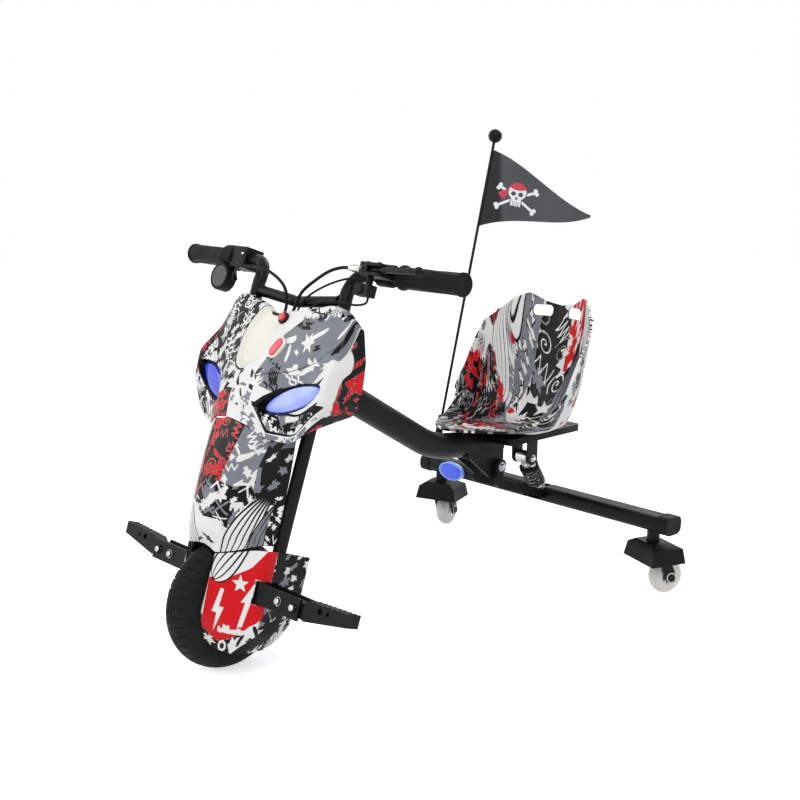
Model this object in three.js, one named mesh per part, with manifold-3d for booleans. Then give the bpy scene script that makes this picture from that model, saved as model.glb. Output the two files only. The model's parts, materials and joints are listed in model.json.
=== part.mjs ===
// Electric drift tricycle: one driven front wheel under a raked fork, a bucket seat on a bent tube,
// and a sprung rear beam on two swivel casters. Millimetres, +Z up, the rider looks along -Y.
import * as THREE from 'three';
import { mergeVertices } from 'three/addons/utils/BufferGeometryUtils.js';
import Module from 'manifold-3d';

const wasm = await Module();
wasm.setup();
const rad = THREE.MathUtils.degToRad;

// Common sizes
const clearance = 0.3;
const overrun = 3;
const rake = rad(18.8);
const fineSides = 18;
const coarseSides = 8;

// Front wheel and its axle, in the raked steering frame
const wheel = {
  radius: 97, width: 48, rimRadius: 57, tyreShoulder: 16.5, crownSteps: 8, beadShare: 0.8, axleY: -10.4, axleZ: -3.5, axleRadius: 6,
  spacerRadius: 10, nutRadius: 11, nutLength: 8, hubWidth: 44, hubStep: 6, coverRadius: 44,
};
const headY = 11;

// Fork, crowns and steering stem
const fork = {
  legX: 78, legWidth: 12, legFront: -11, legBack: 8, legTop: 303.5, toeFront: -26, toeBottom: -22, toeTop: 26,
  crownZ: 304, crownThick: 8, crownFront: -27, crownBack: 18, yokeZ: 396, yokeHalf: 114, corner: 9,
};
const stem = { radius: 10, flangeRadius: 15, flangeLength: 6 };
const headTube = { radius: 22, bore: 16, lowGap: 7.5, highGap: 7.5 };
const bearing = { radius: 19 };

// Handlebar
const bar = {
  uprightX: 102, footY: -17, tubeRadius: 10, bendStart: 470, topZ: 504.5, lean: -4, bend: 36, half: 300,
  crossZ: 458, crossDip: 10, crossRadius: 8.5, sides: 12, steps: 20, notchBelow: 90,
};
const grip = {
  radius: 15.2, start: 192, end: bar.half + 7, flangeRadius: 17.5, flangeLength: 5, ribs: 9, ribDepth: 0.8,
  sleeveStart: 212,
};
const perch = {
  x: 161, width: 24, radius: 16, armY: -34, armDepth: 12, armHeight: 18, pivotX: 172, pinRadius: 3,
  blockHalf: 17, slotStart: 10.6, slot: 8.6,
};
const lever = {
  thick: 8, rootWidth: 15, rootReach: 7, shoulder: 8.5, tipX: 276, tipY: -60, tipWidth: 9, ballRadius: 6.5,
  reachY: -47, bendX: 206,
};
const adjuster = { start: 144, length: 30, radius: 5.5, nutRadius: 7, nutLength: 9 };
const switchBox = {
  x: 151, y: -30, z: 476, width: 29, depth: 17, height: 17, corner: 4, stemRadius: 5, buttonRadius: 5,
  buttonLength: 9, travel: 2.5, wireX: 10,
};
const throttle = {
  ringStart: 185, ringEnd: 211.5, ringRadius: 20, blockStart: 150, blockEnd: 185.5, blockFront: -19,
  blockBack: 15, blockLow: 488, blockHigh: 522, corner: 6, podX: 198, podY: -15, podZ: 470, podRadius: 22,
  podLength: 20, neck: 9,
};

// Front body shells
const cowl = { half: 153, front: -88, back: 13, low: 243, high: 450, wall: 2.6, dish: 7 };
const column = { half: 79, front: -99, back: 6, low: 74, high: 262, wall: 2.6 };
const skirt = { half: 98, front: -78, back: 44, low: -62, high: 93, wall: 2.6, window: 2 };
const seam = 1.4;
const lens = { length: 97, height: 30, thick: 9, x: 93, y: -57, z: 307, tilt: 26, turn: 10, sides: 14, blunt: 0.75 };
const powerButton = { width: 14, height: 27, length: 12, x: 38, y: -63, z: 373, tilt: -24, pitch: 12, travel: 2.5 };
const modeButton = { radius: 6.5, length: 13, x: 19, y: -50.5, z: 418, pitch: 16, travel: 2.5 };
const battery = { half: 42, front: -64, back: -17, low: 128, corner: 6 };
const controller = { half: 40, front: -46, back: -23, low: 322, corner: 4 };

// Foot pegs
const peg = {
  pivotX: 166, pivotZ: 33, bracketFront: -31, bracketBack: -1, plate: 4, bracketHeight: 30,
  bracketEnd: 178, eyeRadius: 11, pinRadius: 4, rootHeight: 30, tipHeight: 19, rootX: 188, tipX: 271,
  rise: 12, wall: 3, holeX: 215, holeRise: 9, holeRadius: 4.5, smallX: 231, smallRadius: 3, headRadius: 7,
  headLength: 3, toothDepth: 2, teeth: 9, boltX: 134, boltRadius: 5.6,
};

// Main tube, seat plate and brackets, in the frame of the floor
const tube = {
  radius: 22, wall: 2.5, dropAngle: rad(31), bendY: 392, bendRadius: 160, restAngle: rad(6),
  endY: 583, axisY: 127, axisZ: 438, sides: 20, steps: 20, bendSteps: 8,
};
const plate = { half: 61.6, front: 556, back: 745, low: 250, high: 262, gauge: 4, corner: 10 };
const pivot = {
  y: 566, z: 207, boltRadius: 5, cheekX: 16, cheekGauge: 4, cheekFront: 492, cheekLow: 188, headRadius: 9,
  headLength: 6, cheekBack: 582, cheekTop: 243,
};
const shockTop = { y: 662.5, z: 203, cheekX: 15.5, gauge: 4, radius: 13, width: 26, boltRadius: 4.5, head: 4 };

// Rear swing beam and its parts
const beam = {
  y: 708, z: 130.5, depth: 40, height: 28, half: 289, corner: 10, pocketHalf: 22.4, armX: 24.4, armGauge: 6,
  armHeight: 15, elbowY: 562, elbowZ: 178, lugX: 13, lugGauge: 6, lugRise: 8, eyeZ: 131, eyeY: 709, armEye: 13,
  wall: 3,
};
const cap = { start: beam.half - 18, end: beam.half + 5, grow: 1.8, round: 12 };
const lamp = { x: -204, halfWidth: 32.5, halfHeight: 18, thick: 7, steps: 12 };

// Shock absorber, measured along its own axis from the lower eye
const shock = {
  eyeRadius: 9.5, eyeWidth: 24, boltRadius: 4.5, boltHead: 8, eyeBore: 6.2, cupStart: 16,
  cupThick: 4.5, cupRadius: 18, rodRadius: 4.5, rodEnd: 62, springStart: 20.8, springEnd: 58, springRadius: 15.6,
  wire: 5, wireSides: 5, turns: 4, turnSteps: 8, collarThick: 6.5, collarRadius: 18, collarTeeth: 10,
  toothRadius: 2.2, toothSides: 6, bodyRadius: 11, bodyStart: 46, topEyeRadius: 12, bore: 5.2, knobRadius: 7,
  knobRise: 5.6, knobReach: 15, neck: 7.5,
};

// Casters
const caster = {
  x: 254, turn: rad(20), stemRadius: 11, tenonRadius: 5.5, wheelRadius: 30.5, wheelWidth: 26, trail: 28,
  hubRadius: 13, yokeGauge: 3, yokeHalf: 18.5, yokeFront: -9, yokeBack: 13, axleRadius: 4, axleHead: 7,
  axleHeadLength: 3, hoodTop: 96, hoodShoulder: 88, hoodLow: 63, hoodHalf: 43, hoodFront: -30, hoodBack: 38,
  hoodTopHalf: 24, hoodTopFront: -19, hoodTopBack: 20, hoodGauge: 2.5, cheekFoot: 8, tyreRound: 8, crownSteps: 6,
};

// Seat shell
const seat = {
  half: 126, front: 449, back: 760, low: 262.4, high: 492, wall: 4, holeInner: 17, holeOuter: 56,
  holeLow: 450, holeHigh: 470, holeCorner: 8, holeDepth: 62,
};

// Flag
const flag = {
  x: -131, footY: 579, footZ: 262, topY: 708, topZ: 773, poleRadius: 2.5, ballRadius: 12.5, hoistGap: 25,
  hoist: 136, fly: 192, cloth: 1.2, folds: 1.6, wave: 6, columns: 16, rows: 5, tipDrop: 50, gatherShare: 0.97,
  socketRadius: 7, socketLength: 34, armWidth: 22, armGauge: 5,
};

// Cables, by hand from the switches into the cowl
const cord = { radius: 2.4, thinRadius: 1.6, sides: 8, shortSteps: 22, longSteps: 28 };

// Solids from geometry and back
function solid(geometry) {
  const bare = geometry.index ? geometry.toNonIndexed() : geometry.clone();
  bare.deleteAttribute('normal');
  bare.deleteAttribute('uv');
  const merged = mergeVertices(bare, 1e-4);
  const vertProperties = new Float32Array(merged.attributes.position.array);
  const triVerts = new Uint32Array(merged.index.array);
  return new wasm.Manifold(new wasm.Mesh({ numProp: 3, vertProperties, triVerts }));
}

function geometryOf(body) {
  const mesh = body.getMesh();
  const geometry = new THREE.BufferGeometry();
  geometry.setAttribute('position', new THREE.BufferAttribute(new Float32Array(mesh.vertProperties), 3));
  geometry.setIndex(new THREE.BufferAttribute(new Uint32Array(mesh.triVerts), 1));
  return geometry;
}

const join = (...parts) => geometryOf(parts.map(solid).reduce((sum, item) => sum.add(item)));
const cut = (base, ...tools) => geometryOf(tools.map(solid).reduce((rest, item) => rest.subtract(item), solid(base)));
const common = (base, other) => geometryOf(solid(base).intersect(solid(other)));

// Primitive placed between limits along the three axes
function block([x0, x1], [y0, y1], [z0, z1]) {
  return new THREE.BoxGeometry(x1 - x0, y1 - y0, z1 - z0)
    .translate((x0 + x1) / 2, (y0 + y1) / 2, (z0 + z1) / 2);
}

// Straight round rod between two points
function rod(from, to, radius, sides = coarseSides) {
  const axis = to.clone().sub(from);
  const turn = new THREE.Quaternion().setFromUnitVectors(new THREE.Vector3(0, 1, 0), axis.clone().normalize());
  return new THREE.CylinderGeometry(radius, radius, axis.length(), sides)
    .applyQuaternion(turn)
    .translate((from.x + to.x) / 2, (from.y + to.y) / 2, (from.z + to.z) / 2);
}

const point = (x, y, z) => new THREE.Vector3(x, y, z);
const rodX = (x0, x1, y, z, radius, sides) => rod(point(x0, y, z), point(x1, y, z), radius, sides);
const rodY = (y0, y1, x, z, radius, sides) => rod(point(x, y0, z), point(x, y1, z), radius, sides);
const rodZ = (z0, z1, x, y, radius, sides) => rod(point(x, y, z0), point(x, y, z1), radius, sides);

// Outline of [y, z] points made a plate between two x planes
function plateX(outline, x0, x1) {
  const shape = new THREE.Shape(outline.map(([y, z]) => new THREE.Vector2(y, z)));
  const geometry = new THREE.ExtrudeGeometry(shape, { depth: x1 - x0, bevelEnabled: false });
  return geometry.applyMatrix4(new THREE.Matrix4().makeBasis(point(0, 1, 0), point(0, 0, 1), point(1, 0, 0)))
    .translate(x0, 0, 0);
}

// Rectangle with round corners, centred
function roundRect(width, height, corner, steps = 2) {
  const shape = new THREE.Shape();
  const x = width / 2;
  const y = height / 2;
  shape.absarc(x - corner, y - corner, corner, 0, Math.PI / 2);
  shape.absarc(-x + corner, y - corner, corner, Math.PI / 2, Math.PI);
  shape.absarc(-x + corner, -y + corner, corner, Math.PI, Math.PI * 1.5);
  shape.absarc(x - corner, -y + corner, corner, Math.PI * 1.5, Math.PI * 2);
  return new THREE.Shape(shape.getPoints(steps).slice(0, -1));
}

// Block with round corners, extruded along one axis
function roundBlock([x0, x1], [y0, y1], [z0, z1], corner, along = 'z') {
  const size = { x: x1 - x0, y: y1 - y0, z: z1 - z0 };
  const [a, b] = { x: ['y', 'z'], y: ['z', 'x'], z: ['x', 'y'] }[along];
  const shape = roundRect(size[a], size[b], corner);
  const axes = { x: point(1, 0, 0), y: point(0, 1, 0), z: point(0, 0, 1) };
  return new THREE.ExtrudeGeometry(shape, { depth: size[along], bevelEnabled: false, curveSegments: 4 })
    .translate(0, 0, -size[along] / 2)
    .applyMatrix4(new THREE.Matrix4().makeBasis(axes[a], axes[b], axes[along]))
    .translate((x0 + x1) / 2, (y0 + y1) / 2, (z0 + z1) / 2);
}

// Lathe of [radius, height] points about Z, then laid along X when asked
function lathe(profile, sides = fineSides, alongX = false) {
  const geometry = new THREE.LatheGeometry(profile.map(([r, h]) => new THREE.Vector2(r, h)), sides);
  geometry.rotateX(Math.PI / 2);
  return alongX ? geometry.rotateY(Math.PI / 2) : geometry;
}

const closed = (profile) => [...profile, profile[0]];

// Round tube along a curve, open ends capped flat
function sweep(curve, radius, steps, sides = coarseSides, bore = 0) {
  const ring = new THREE.Shape();
  ring.absarc(0, 0, radius, 0, Math.PI * 2);
  const outline = new THREE.Shape(ring.getPoints(sides / 2).slice(0, -1));
  if (bore > 0) {
    const inner = new THREE.Path();
    inner.absarc(0, 0, bore, 0, Math.PI * 2);
    outline.holes.push(new THREE.Path(inner.getPoints(sides / 4).slice(0, -1)));
  }
  return new THREE.ExtrudeGeometry(outline, { steps, extrudePath: curve, bevelEnabled: false });
}

// Closed shell from a grid of outer points, with its wall on the inner side
function gridShell(rows, wall, side) {
  const at = (i, j) => rows[Math.min(Math.max(i, 0), rows.length - 1)][Math.min(Math.max(j, 0), rows[0].length - 1)];
  const inner = rows.map((row, i) => row.map((p, j) => {
    const along = at(i, j + 1).clone().sub(at(i, j - 1));
    const up = at(i + 1, j).clone().sub(at(i - 1, j));
    return p.clone().addScaledVector(along.cross(up).normalize(), wall * side);
  }));
  const vertices = [];
  const columns = rows[0].length;
  const index = (layer, i, j) => (layer * rows.length + i) * columns + j;
  [rows, inner].forEach((grid) => grid.flat().forEach((p) => vertices.push(p.x, p.y, p.z)));
  const faces = [];
  const quad = (a, b, c, d) => faces.push(a, b, c, a, c, d);
  const last = rows.length - 1;
  const edge = columns - 1;
  for (let i = 0; i < last; i += 1) {
    for (let j = 0; j < edge; j += 1) {
      quad(index(0, i, j), index(0, i, j + 1), index(0, i + 1, j + 1), index(0, i + 1, j));
      quad(index(1, i, j), index(1, i + 1, j), index(1, i + 1, j + 1), index(1, i, j + 1));
    }
    quad(index(0, i, 0), index(0, i + 1, 0), index(1, i + 1, 0), index(1, i, 0));
    quad(index(0, i, edge), index(1, i, edge), index(1, i + 1, edge), index(0, i + 1, edge));
  }
  for (let j = 0; j < edge; j += 1) {
    quad(index(0, 0, j), index(1, 0, j), index(1, 0, j + 1), index(0, 0, j + 1));
    quad(index(0, last, j), index(0, last, j + 1), index(1, last, j + 1), index(1, last, j));
  }
  if (side > 0) {
    for (let k = 0; k < faces.length; k += 3) {
      [faces[k + 1], faces[k + 2]] = [faces[k + 2], faces[k + 1]];
    }
  }
  const geometry = new THREE.BufferGeometry();
  geometry.setAttribute('position', new THREE.BufferAttribute(new Float32Array(vertices), 3));
  geometry.setIndex(faces);
  return geometry;
}

// Straight steps between the rows and columns of a grid
function refine(rows, steps) {
  const between = (a, b) => Array.from({ length: steps }, (_, k) => a.clone().lerp(b, k / steps));
  const widen = (row) => [...row.slice(0, -1).flatMap((p, j) => between(p, row[j + 1])), row.at(-1).clone()];
  const wide = rows.map(widen);
  const tall = wide.slice(0, -1).flatMap((row, i) => Array.from({ length: steps }, (_, k) => (
    row.map((p, j) => p.clone().lerp(wide[i + 1][j], k / steps)))));
  return [...tall, wide.at(-1).map((p) => p.clone())];
}

// Half row of points from the middle outwards, mirrored into a full row
const mirrored = (half) => [...half.slice(1).map((p) => point(-p.x, p.y, p.z)).reverse(), ...half];

// Mirror a solid across the middle plane
function mirrorX(geometry) {
  const copy = geometry.clone();
  copy.applyMatrix4(new THREE.Matrix4().makeScale(-1, 1, 1));
  const flat = copy.index ? copy.toNonIndexed() : copy;
  const places = flat.attributes.position;
  for (let k = 0; k < places.count; k += 3) {
    const second = point(0, 0, 0).fromBufferAttribute(places, k + 1);
    const third = point(0, 0, 0).fromBufferAttribute(places, k + 2);
    places.setXYZ(k + 1, third.x, third.y, third.z);
    places.setXYZ(k + 2, second.x, second.y, second.z);
  }
  return flat;
}

// Materials
const finish = (color, roughness, metalness) => new THREE.MeshStandardMaterial({ color, roughness, metalness });
const look = {
  paint: finish(0x17181a, 0.45, 0.4),
  steel: finish(0xb9bcc0, 0.3, 1),
  alloy: finish(0xc9c9c6, 0.35, 0.9),
  tyre: finish(0x1c1c1d, 0.85, 0),
  rubber: finish(0x161616, 0.8, 0),
  print: finish(0xd8d7d2, 0.25, 0),
  plastic: finish(0x141415, 0.5, 0),
  lamp: finish(0x3c62d8, 0.15, 0),
  red: finish(0xc81d25, 0.3, 0),
  milk: finish(0xe6e3da, 0.45, 0),
  cloth: finish(0x0f0f10, 0.9, 0),
};

function piece(name, geometry, material) {
  const mesh = new THREE.Mesh(geometry, material);
  mesh.name = name;
  return mesh;
}

// Curve through hand-placed points
const through = (...places) => new THREE.CatmullRomCurve3(places.map(([x, y, z]) => point(x, y, z)), false, 'centripetal');

// Front wheel
function frontWheel() {
  const half = wheel.width / 2;
  const seatHalf = half * wheel.beadShare;
  const crown = Array.from({ length: wheel.crownSteps + 1 }, (_, k) => {
    const angle = (k / wheel.crownSteps - 0.5) * rad(165);
    return [wheel.radius - wheel.tyreShoulder * (1 - Math.cos(angle)), half * Math.sin(angle)];
  });
  const tyre = lathe(closed([[wheel.rimRadius, -seatHalf], ...crown, [wheel.rimRadius, seatHalf]]), fineSides * 2, true);
  const hubHalf = wheel.hubWidth / 2;
  const bore = wheel.axleRadius + clearance;
  const rim = wheel.rimRadius - clearance;
  const hub = lathe(closed([
    [bore, -hubHalf], [wheel.coverRadius, -hubHalf], [wheel.coverRadius + wheel.hubStep, -hubHalf + wheel.hubStep],
    [rim, -hubHalf + wheel.hubStep], [rim, hubHalf - wheel.hubStep],
    [wheel.coverRadius + wheel.hubStep, hubHalf - wheel.hubStep], [wheel.coverRadius, hubHalf], [bore, hubHalf],
  ]), fineSides, true);
  const legInner = fork.legX - fork.legWidth / 2 - clearance;
  const legOuter = fork.legX + fork.legWidth / 2 + clearance;
  const spacer = hubHalf + clearance;
  const end = legOuter + wheel.nutLength;
  const sideProfile = [[wheel.axleRadius, spacer], [wheel.spacerRadius, spacer], [wheel.spacerRadius, legInner],
    [wheel.axleRadius, legInner], [wheel.axleRadius, legOuter], [wheel.nutRadius, legOuter],
    [wheel.nutRadius, end], [0, end]];
  const axle = lathe([...sideProfile.map(([r, x]) => [r, -x]).reverse(), ...sideProfile], coarseSides, true);
  return [
    piece('front_tyre', tyre, look.tyre),
    piece('hub_motor', hub, look.alloy),
    piece('front_axle', axle, look.steel),
  ].map((mesh) => {
    mesh.position.set(0, wheel.axleY, wheel.axleZ);
    return mesh;
  });
}

// Fork legs with their peg brackets
function forkLeg() {
  const inner = fork.legX - fork.legWidth / 2;
  const outer = fork.legX + fork.legWidth / 2;
  const leg = roundBlock([inner, outer], [fork.legFront, fork.legBack], [fork.toeBottom, fork.legTop],
    fork.legWidth / 4);
  const toe = roundBlock([inner, outer], [fork.toeFront, fork.legBack], [fork.toeBottom, fork.toeTop],
    fork.corner, 'x');
  const axleHole = rodX(inner - overrun, outer + overrun, wheel.axleY, wheel.axleZ, wheel.axleRadius + clearance * 2,
    fineSides);
  const low = peg.pivotZ - peg.bracketHeight / 2;
  const high = peg.pivotZ + peg.bracketHeight / 2;
  const web = block([outer - peg.plate, outer + peg.plate], [peg.bracketFront, peg.bracketBack], [low, high]);
  const front = block([outer, peg.bracketEnd], [peg.bracketFront, peg.bracketFront + peg.plate], [low, high]);
  const back = block([outer, peg.bracketEnd], [peg.bracketBack - peg.plate, peg.bracketBack], [low, high]);
  const pin = rodY(peg.bracketFront - peg.headLength, peg.bracketBack + peg.headLength, peg.pivotX, peg.pivotZ,
    peg.pinRadius);
  const head = rodY(peg.bracketFront - peg.headLength, peg.bracketFront + clearance, peg.pivotX, peg.pivotZ,
    peg.headRadius);
  const bolt = rodY(peg.bracketFront - peg.headLength, peg.bracketFront + peg.plate / 2, peg.boltX, peg.pivotZ,
    peg.boltRadius);
  return join(cut(join(leg, toe), axleHole), web, front, back, pin, head, bolt);
}

// Foot peg: a serrated channel that folds up on its pin
function footPeg() {
  const front = peg.bracketFront + peg.plate + clearance;
  const back = peg.bracketBack - peg.plate - clearance;
  const length = peg.tipX - peg.pivotX;
  const rootRise = peg.rise * (peg.rootX - peg.pivotX) / length;
  const half = peg.rootHeight / 2;
  const tipHalf = peg.tipHeight / 2;
  const tipTop = peg.pivotZ + peg.rise + tipHalf;
  const rootTop = peg.pivotZ + rootRise + half;
  const teeth = Array.from({ length: peg.teeth * 2 }, (_, k) => {
    const share = k / (peg.teeth * 2 - 1);
    const x = THREE.MathUtils.lerp(peg.tipX, peg.rootX, share);
    return [x, THREE.MathUtils.lerp(tipTop, rootTop, share) - (k % 2) * peg.toothDepth];
  });
  const outline = new THREE.Shape([
    [peg.pivotX - peg.eyeRadius, peg.pivotZ - peg.eyeRadius], [peg.bracketEnd + peg.plate, peg.pivotZ - peg.eyeRadius],
    [peg.rootX, peg.pivotZ + rootRise - half], [peg.tipX, peg.pivotZ + peg.rise - tipHalf], ...teeth,
    [peg.bracketEnd + peg.plate, peg.pivotZ + peg.eyeRadius], [peg.pivotX - peg.eyeRadius, peg.pivotZ + peg.eyeRadius],
  ].map(([x, z]) => new THREE.Vector2(x, z)));
  const body = new THREE.ExtrudeGeometry(outline, { depth: back - front, bevelEnabled: false })
    .rotateX(Math.PI / 2).translate(0, back, 0);
  const holes = [[peg.pivotX, peg.pivotZ, peg.pinRadius + clearance * 2],
    [peg.holeX, peg.pivotZ + peg.holeRise, peg.holeRadius], [peg.smallX, peg.pivotZ + peg.holeRise, peg.smallRadius]]
    .map(([x, z, radius]) => rodY(front - overrun, back + overrun, x, z, radius));
  const hollow = block([peg.rootX + peg.wall, peg.tipX - peg.wall], [front + peg.wall, back - peg.wall],
    [peg.pivotZ - half - overrun, peg.pivotZ + peg.wall]);
  return cut(body, hollow, ...holes);
}

// Crowns and steering stem
function steeringParts() {
  const low = [fork.crownZ, fork.crownZ + fork.crownThick];
  const high = [fork.yokeZ, fork.yokeZ + fork.crownThick];
  const legOuter = fork.legX + fork.legWidth / 2;
  const bore = stem.radius + clearance;
  const hole = ([z0, z1]) => rodZ(z0 - overrun, z1 + overrun, 0, 0, bore, fineSides);
  const crown = cut(roundBlock([-legOuter, legOuter], [fork.crownFront, fork.crownBack], low, fork.corner), hole(low));
  const yoke = cut(roundBlock([-fork.yokeHalf, fork.yokeHalf], [fork.crownFront, fork.crownBack], high, fork.corner),
    hole(high));
  const bottom = low[0] - clearance;
  const top = high[1] + clearance;
  const shaft = lathe([[0, bottom - stem.flangeLength], [stem.flangeRadius, bottom - stem.flangeLength],
    [stem.flangeRadius, bottom], [stem.radius, bottom], [stem.radius, top], [stem.flangeRadius, top],
    [stem.flangeRadius, top + stem.flangeLength], [0, top + stem.flangeLength]]);
  return [
    piece('lower_crown', crown, look.paint),
    piece('upper_yoke', yoke, look.paint),
    piece('steering_stem', shaft, look.steel),
  ];
}

// Handlebar tubes
function barHalf() {
  const start = point(bar.uprightX, bar.footY, fork.yokeZ + fork.crownThick + clearance);
  const low = point(bar.uprightX, bar.footY, bar.bendStart);
  const corner = point(bar.uprightX, (bar.lean + bar.footY) / 2, bar.topZ);
  const out = point(bar.uprightX + bar.bend, bar.lean, bar.topZ);
  const end = point(bar.half, bar.lean, bar.topZ);
  const path = new THREE.CurvePath();
  path.add(new THREE.LineCurve3(start, low));
  path.add(new THREE.QuadraticBezierCurve3(low, corner, out));
  path.add(new THREE.LineCurve3(out, end));
  return sweep(path, bar.tubeRadius, bar.steps, bar.sides);
}

function crossBar() {
  const ends = bar.uprightX;
  const half = (side) => rod(point(side * ends, bar.footY, bar.crossZ),
    point(0, bar.footY, bar.crossZ - bar.crossDip), bar.crossRadius);
  const middle = new THREE.SphereGeometry(bar.crossRadius, coarseSides, coarseSides)
    .translate(0, bar.footY, bar.crossZ - bar.crossDip);
  const notch = (side) => join(
    rodZ(bar.crossZ - bar.notchBelow, bar.bendStart, side * ends, bar.footY, bar.tubeRadius + clearance * 2, fineSides),
    rod(point(side * ends, bar.footY, bar.bendStart - overrun), point(side * (ends + bar.bend / 2),
      (bar.lean + bar.footY) / 2, bar.topZ), bar.tubeRadius + clearance * 2, fineSides));
  const raw = cut(join(half(1), half(-1), middle), notch(1), notch(-1));
  const keep = block([-ends, ends], [-ends, ends], [0, bar.topZ]);
  return common(raw, keep);
}

// Left grip, brake perch, lever and cable adjuster
function leftControls() {
  const inner = bar.tubeRadius + clearance;
  const ribSpan = grip.end - grip.start - grip.flangeLength * 2;
  const ribs = Array.from({ length: grip.ribs * 2 + 1 }, (_, k) => {
    const share = k / (grip.ribs * 2);
    const wave = grip.ribDepth * (k % 2);
    return [grip.radius - wave, grip.start + grip.flangeLength + ribSpan * share];
  });
  const bore = inner + clearance;
  const gripBody = lathe([[bore, grip.start], [grip.flangeRadius, grip.start],
    [grip.flangeRadius, grip.start + grip.flangeLength], ...ribs, [grip.flangeRadius, grip.end - grip.flangeLength],
    [grip.flangeRadius, grip.end], [0, grip.end], [0, bar.half + clearance], [bore, bar.half + clearance],
    [bore, grip.start]], coarseSides + 4, true).translate(0, bar.lean, bar.topZ);

  const ring = rodX(perch.x - perch.width / 2, perch.x + perch.width / 2, bar.lean, bar.topZ, perch.radius, fineSides);
  const bodyLow = bar.topZ - perch.armHeight / 2;
  const bodyHigh = bar.topZ + perch.armHeight / 2;
  const front = perch.armY - perch.armDepth;
  const arm = roundBlock([adjuster.start, perch.pivotX + perch.blockHalf], [front, bar.lean], [bodyLow, bodyHigh],
    perch.armDepth / 3);
  const slotLow = bar.topZ - perch.slot / 2;
  const slotHigh = bar.topZ + perch.slot / 2;
  const slot = block([perch.pivotX - perch.slotStart, perch.pivotX + perch.blockHalf + overrun],
    [front - overrun, perch.armY + perch.armDepth], [slotLow, slotHigh]);
  const hole = rodX(perch.x - perch.width, perch.pivotX + perch.blockHalf + overrun, bar.lean, bar.topZ, inner, fineSides);
  const pin = rodZ(bodyLow, bodyHigh, perch.pivotX, perch.armY, perch.pinRadius);
  const perchBody = join(cut(join(ring, arm), slot, hole), pin);

  const halfThick = lever.thick / 2;
  const outline = new THREE.Shape();
  const rootX = perch.pivotX - lever.rootReach;
  outline.moveTo(rootX, perch.armY + lever.rootWidth / 2);
  outline.lineTo(perch.pivotX + lever.shoulder, perch.armY + lever.rootWidth / 2);
  outline.lineTo(lever.bendX, lever.reachY + lever.tipWidth / 2);
  outline.lineTo(lever.tipX, lever.tipY + lever.tipWidth / 2);
  outline.lineTo(lever.tipX, lever.tipY - lever.tipWidth / 2);
  outline.lineTo(lever.bendX, lever.reachY - lever.tipWidth / 2);
  outline.lineTo(perch.pivotX + lever.shoulder, perch.armY - lever.rootWidth / 2);
  outline.lineTo(rootX, perch.armY - lever.rootWidth / 2);
  const blade = new THREE.ExtrudeGeometry(outline, { depth: lever.thick, bevelEnabled: false })
    .translate(0, 0, bar.topZ - halfThick);
  const ball = new THREE.SphereGeometry(lever.ballRadius, coarseSides, coarseSides)
    .translate(lever.tipX, lever.tipY, bar.topZ);
  const pinHole = rodZ(bodyLow, bodyHigh, perch.pivotX, perch.armY, perch.pinRadius + clearance);
  const leverBody = cut(join(blade, ball), pinHole);

  const nut = adjuster.start - clearance;
  const barrel = lathe([[0, nut - adjuster.length], [adjuster.radius, nut - adjuster.length],
    [adjuster.radius, nut - adjuster.nutLength], [adjuster.nutRadius, nut - adjuster.nutLength],
    [adjuster.nutRadius, nut], [0, nut]], coarseSides, true).translate(0, perch.armY, bar.topZ);
  return [
    piece('left_grip', gripBody, look.rubber),
    piece('brake_perch', perchBody, look.plastic),
    piece('brake_lever', leverBody, look.plastic),
    piece('cable_adjuster', barrel, look.alloy),
  ];
}

// Switch box under the left bar
function switchParts() {
  const halfX = switchBox.width / 2;
  const halfY = switchBox.depth / 2;
  const halfZ = switchBox.height / 2;
  const box = roundBlock([switchBox.x - halfX, switchBox.x + halfX], [switchBox.y - halfY, switchBox.y + halfY],
    [switchBox.z - halfZ, switchBox.z + halfZ], switchBox.corner, 'x');
  const stalkTop = bar.topZ - perch.armHeight / 2 - clearance;
  const stalk = rodZ(switchBox.z, stalkTop, (perch.x + switchBox.x) / 2, switchBox.y, switchBox.stemRadius);
  const front = switchBox.y - halfY;
  const inside = front + switchBox.buttonLength - switchBox.travel;
  const socket = rodY(front - overrun, inside + switchBox.travel, switchBox.x, switchBox.z,
    switchBox.buttonRadius + clearance);
  const button = rodY(front - switchBox.travel - clearance, inside - clearance, switchBox.x, switchBox.z,
    switchBox.buttonRadius);
  return [
    piece('switch_box', cut(join(box, stalk), socket), look.plastic),
    piece('horn_button', button, look.red),
  ];
}

// Throttle sleeve and housing on the right bar
function rightControls() {
  const inner = bar.tubeRadius + clearance;
  const sleeve = lathe([[inner, -grip.sleeveStart], [grip.radius, -grip.sleeveStart],
    [grip.radius, -grip.end + grip.flangeLength], [grip.flangeRadius, -grip.end + grip.flangeLength],
    [grip.flangeRadius, -grip.end], [0, -grip.end], [0, -bar.half - clearance], [inner, -bar.half - clearance],
    [inner, -grip.sleeveStart]].reverse(), fineSides, true).translate(0, bar.lean, bar.topZ);
  const ring = rodX(-throttle.ringEnd, -throttle.ringStart, bar.lean, bar.topZ, throttle.ringRadius, fineSides);
  const body = roundBlock([-throttle.blockEnd, -throttle.blockStart], [throttle.blockFront, throttle.blockBack],
    [throttle.blockLow, throttle.blockHigh], throttle.corner, 'x');
  const pod = rodY(throttle.podY - throttle.podLength / 2, throttle.podY + throttle.podLength / 2, -throttle.podX,
    throttle.podZ, throttle.podRadius, fineSides);
  const neck = rod(point(-throttle.podX, throttle.podY, throttle.podZ), point(-throttle.ringStart, bar.lean, bar.topZ),
    throttle.neck);
  const hole = rodX(-throttle.ringEnd - overrun, -throttle.blockStart + overrun, bar.lean, bar.topZ, inner, fineSides);
  return [
    piece('throttle_sleeve', sleeve, look.rubber),
    piece('throttle_housing', cut(join(ring, body, pod, neck), hole), look.plastic),
  ];
}

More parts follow.
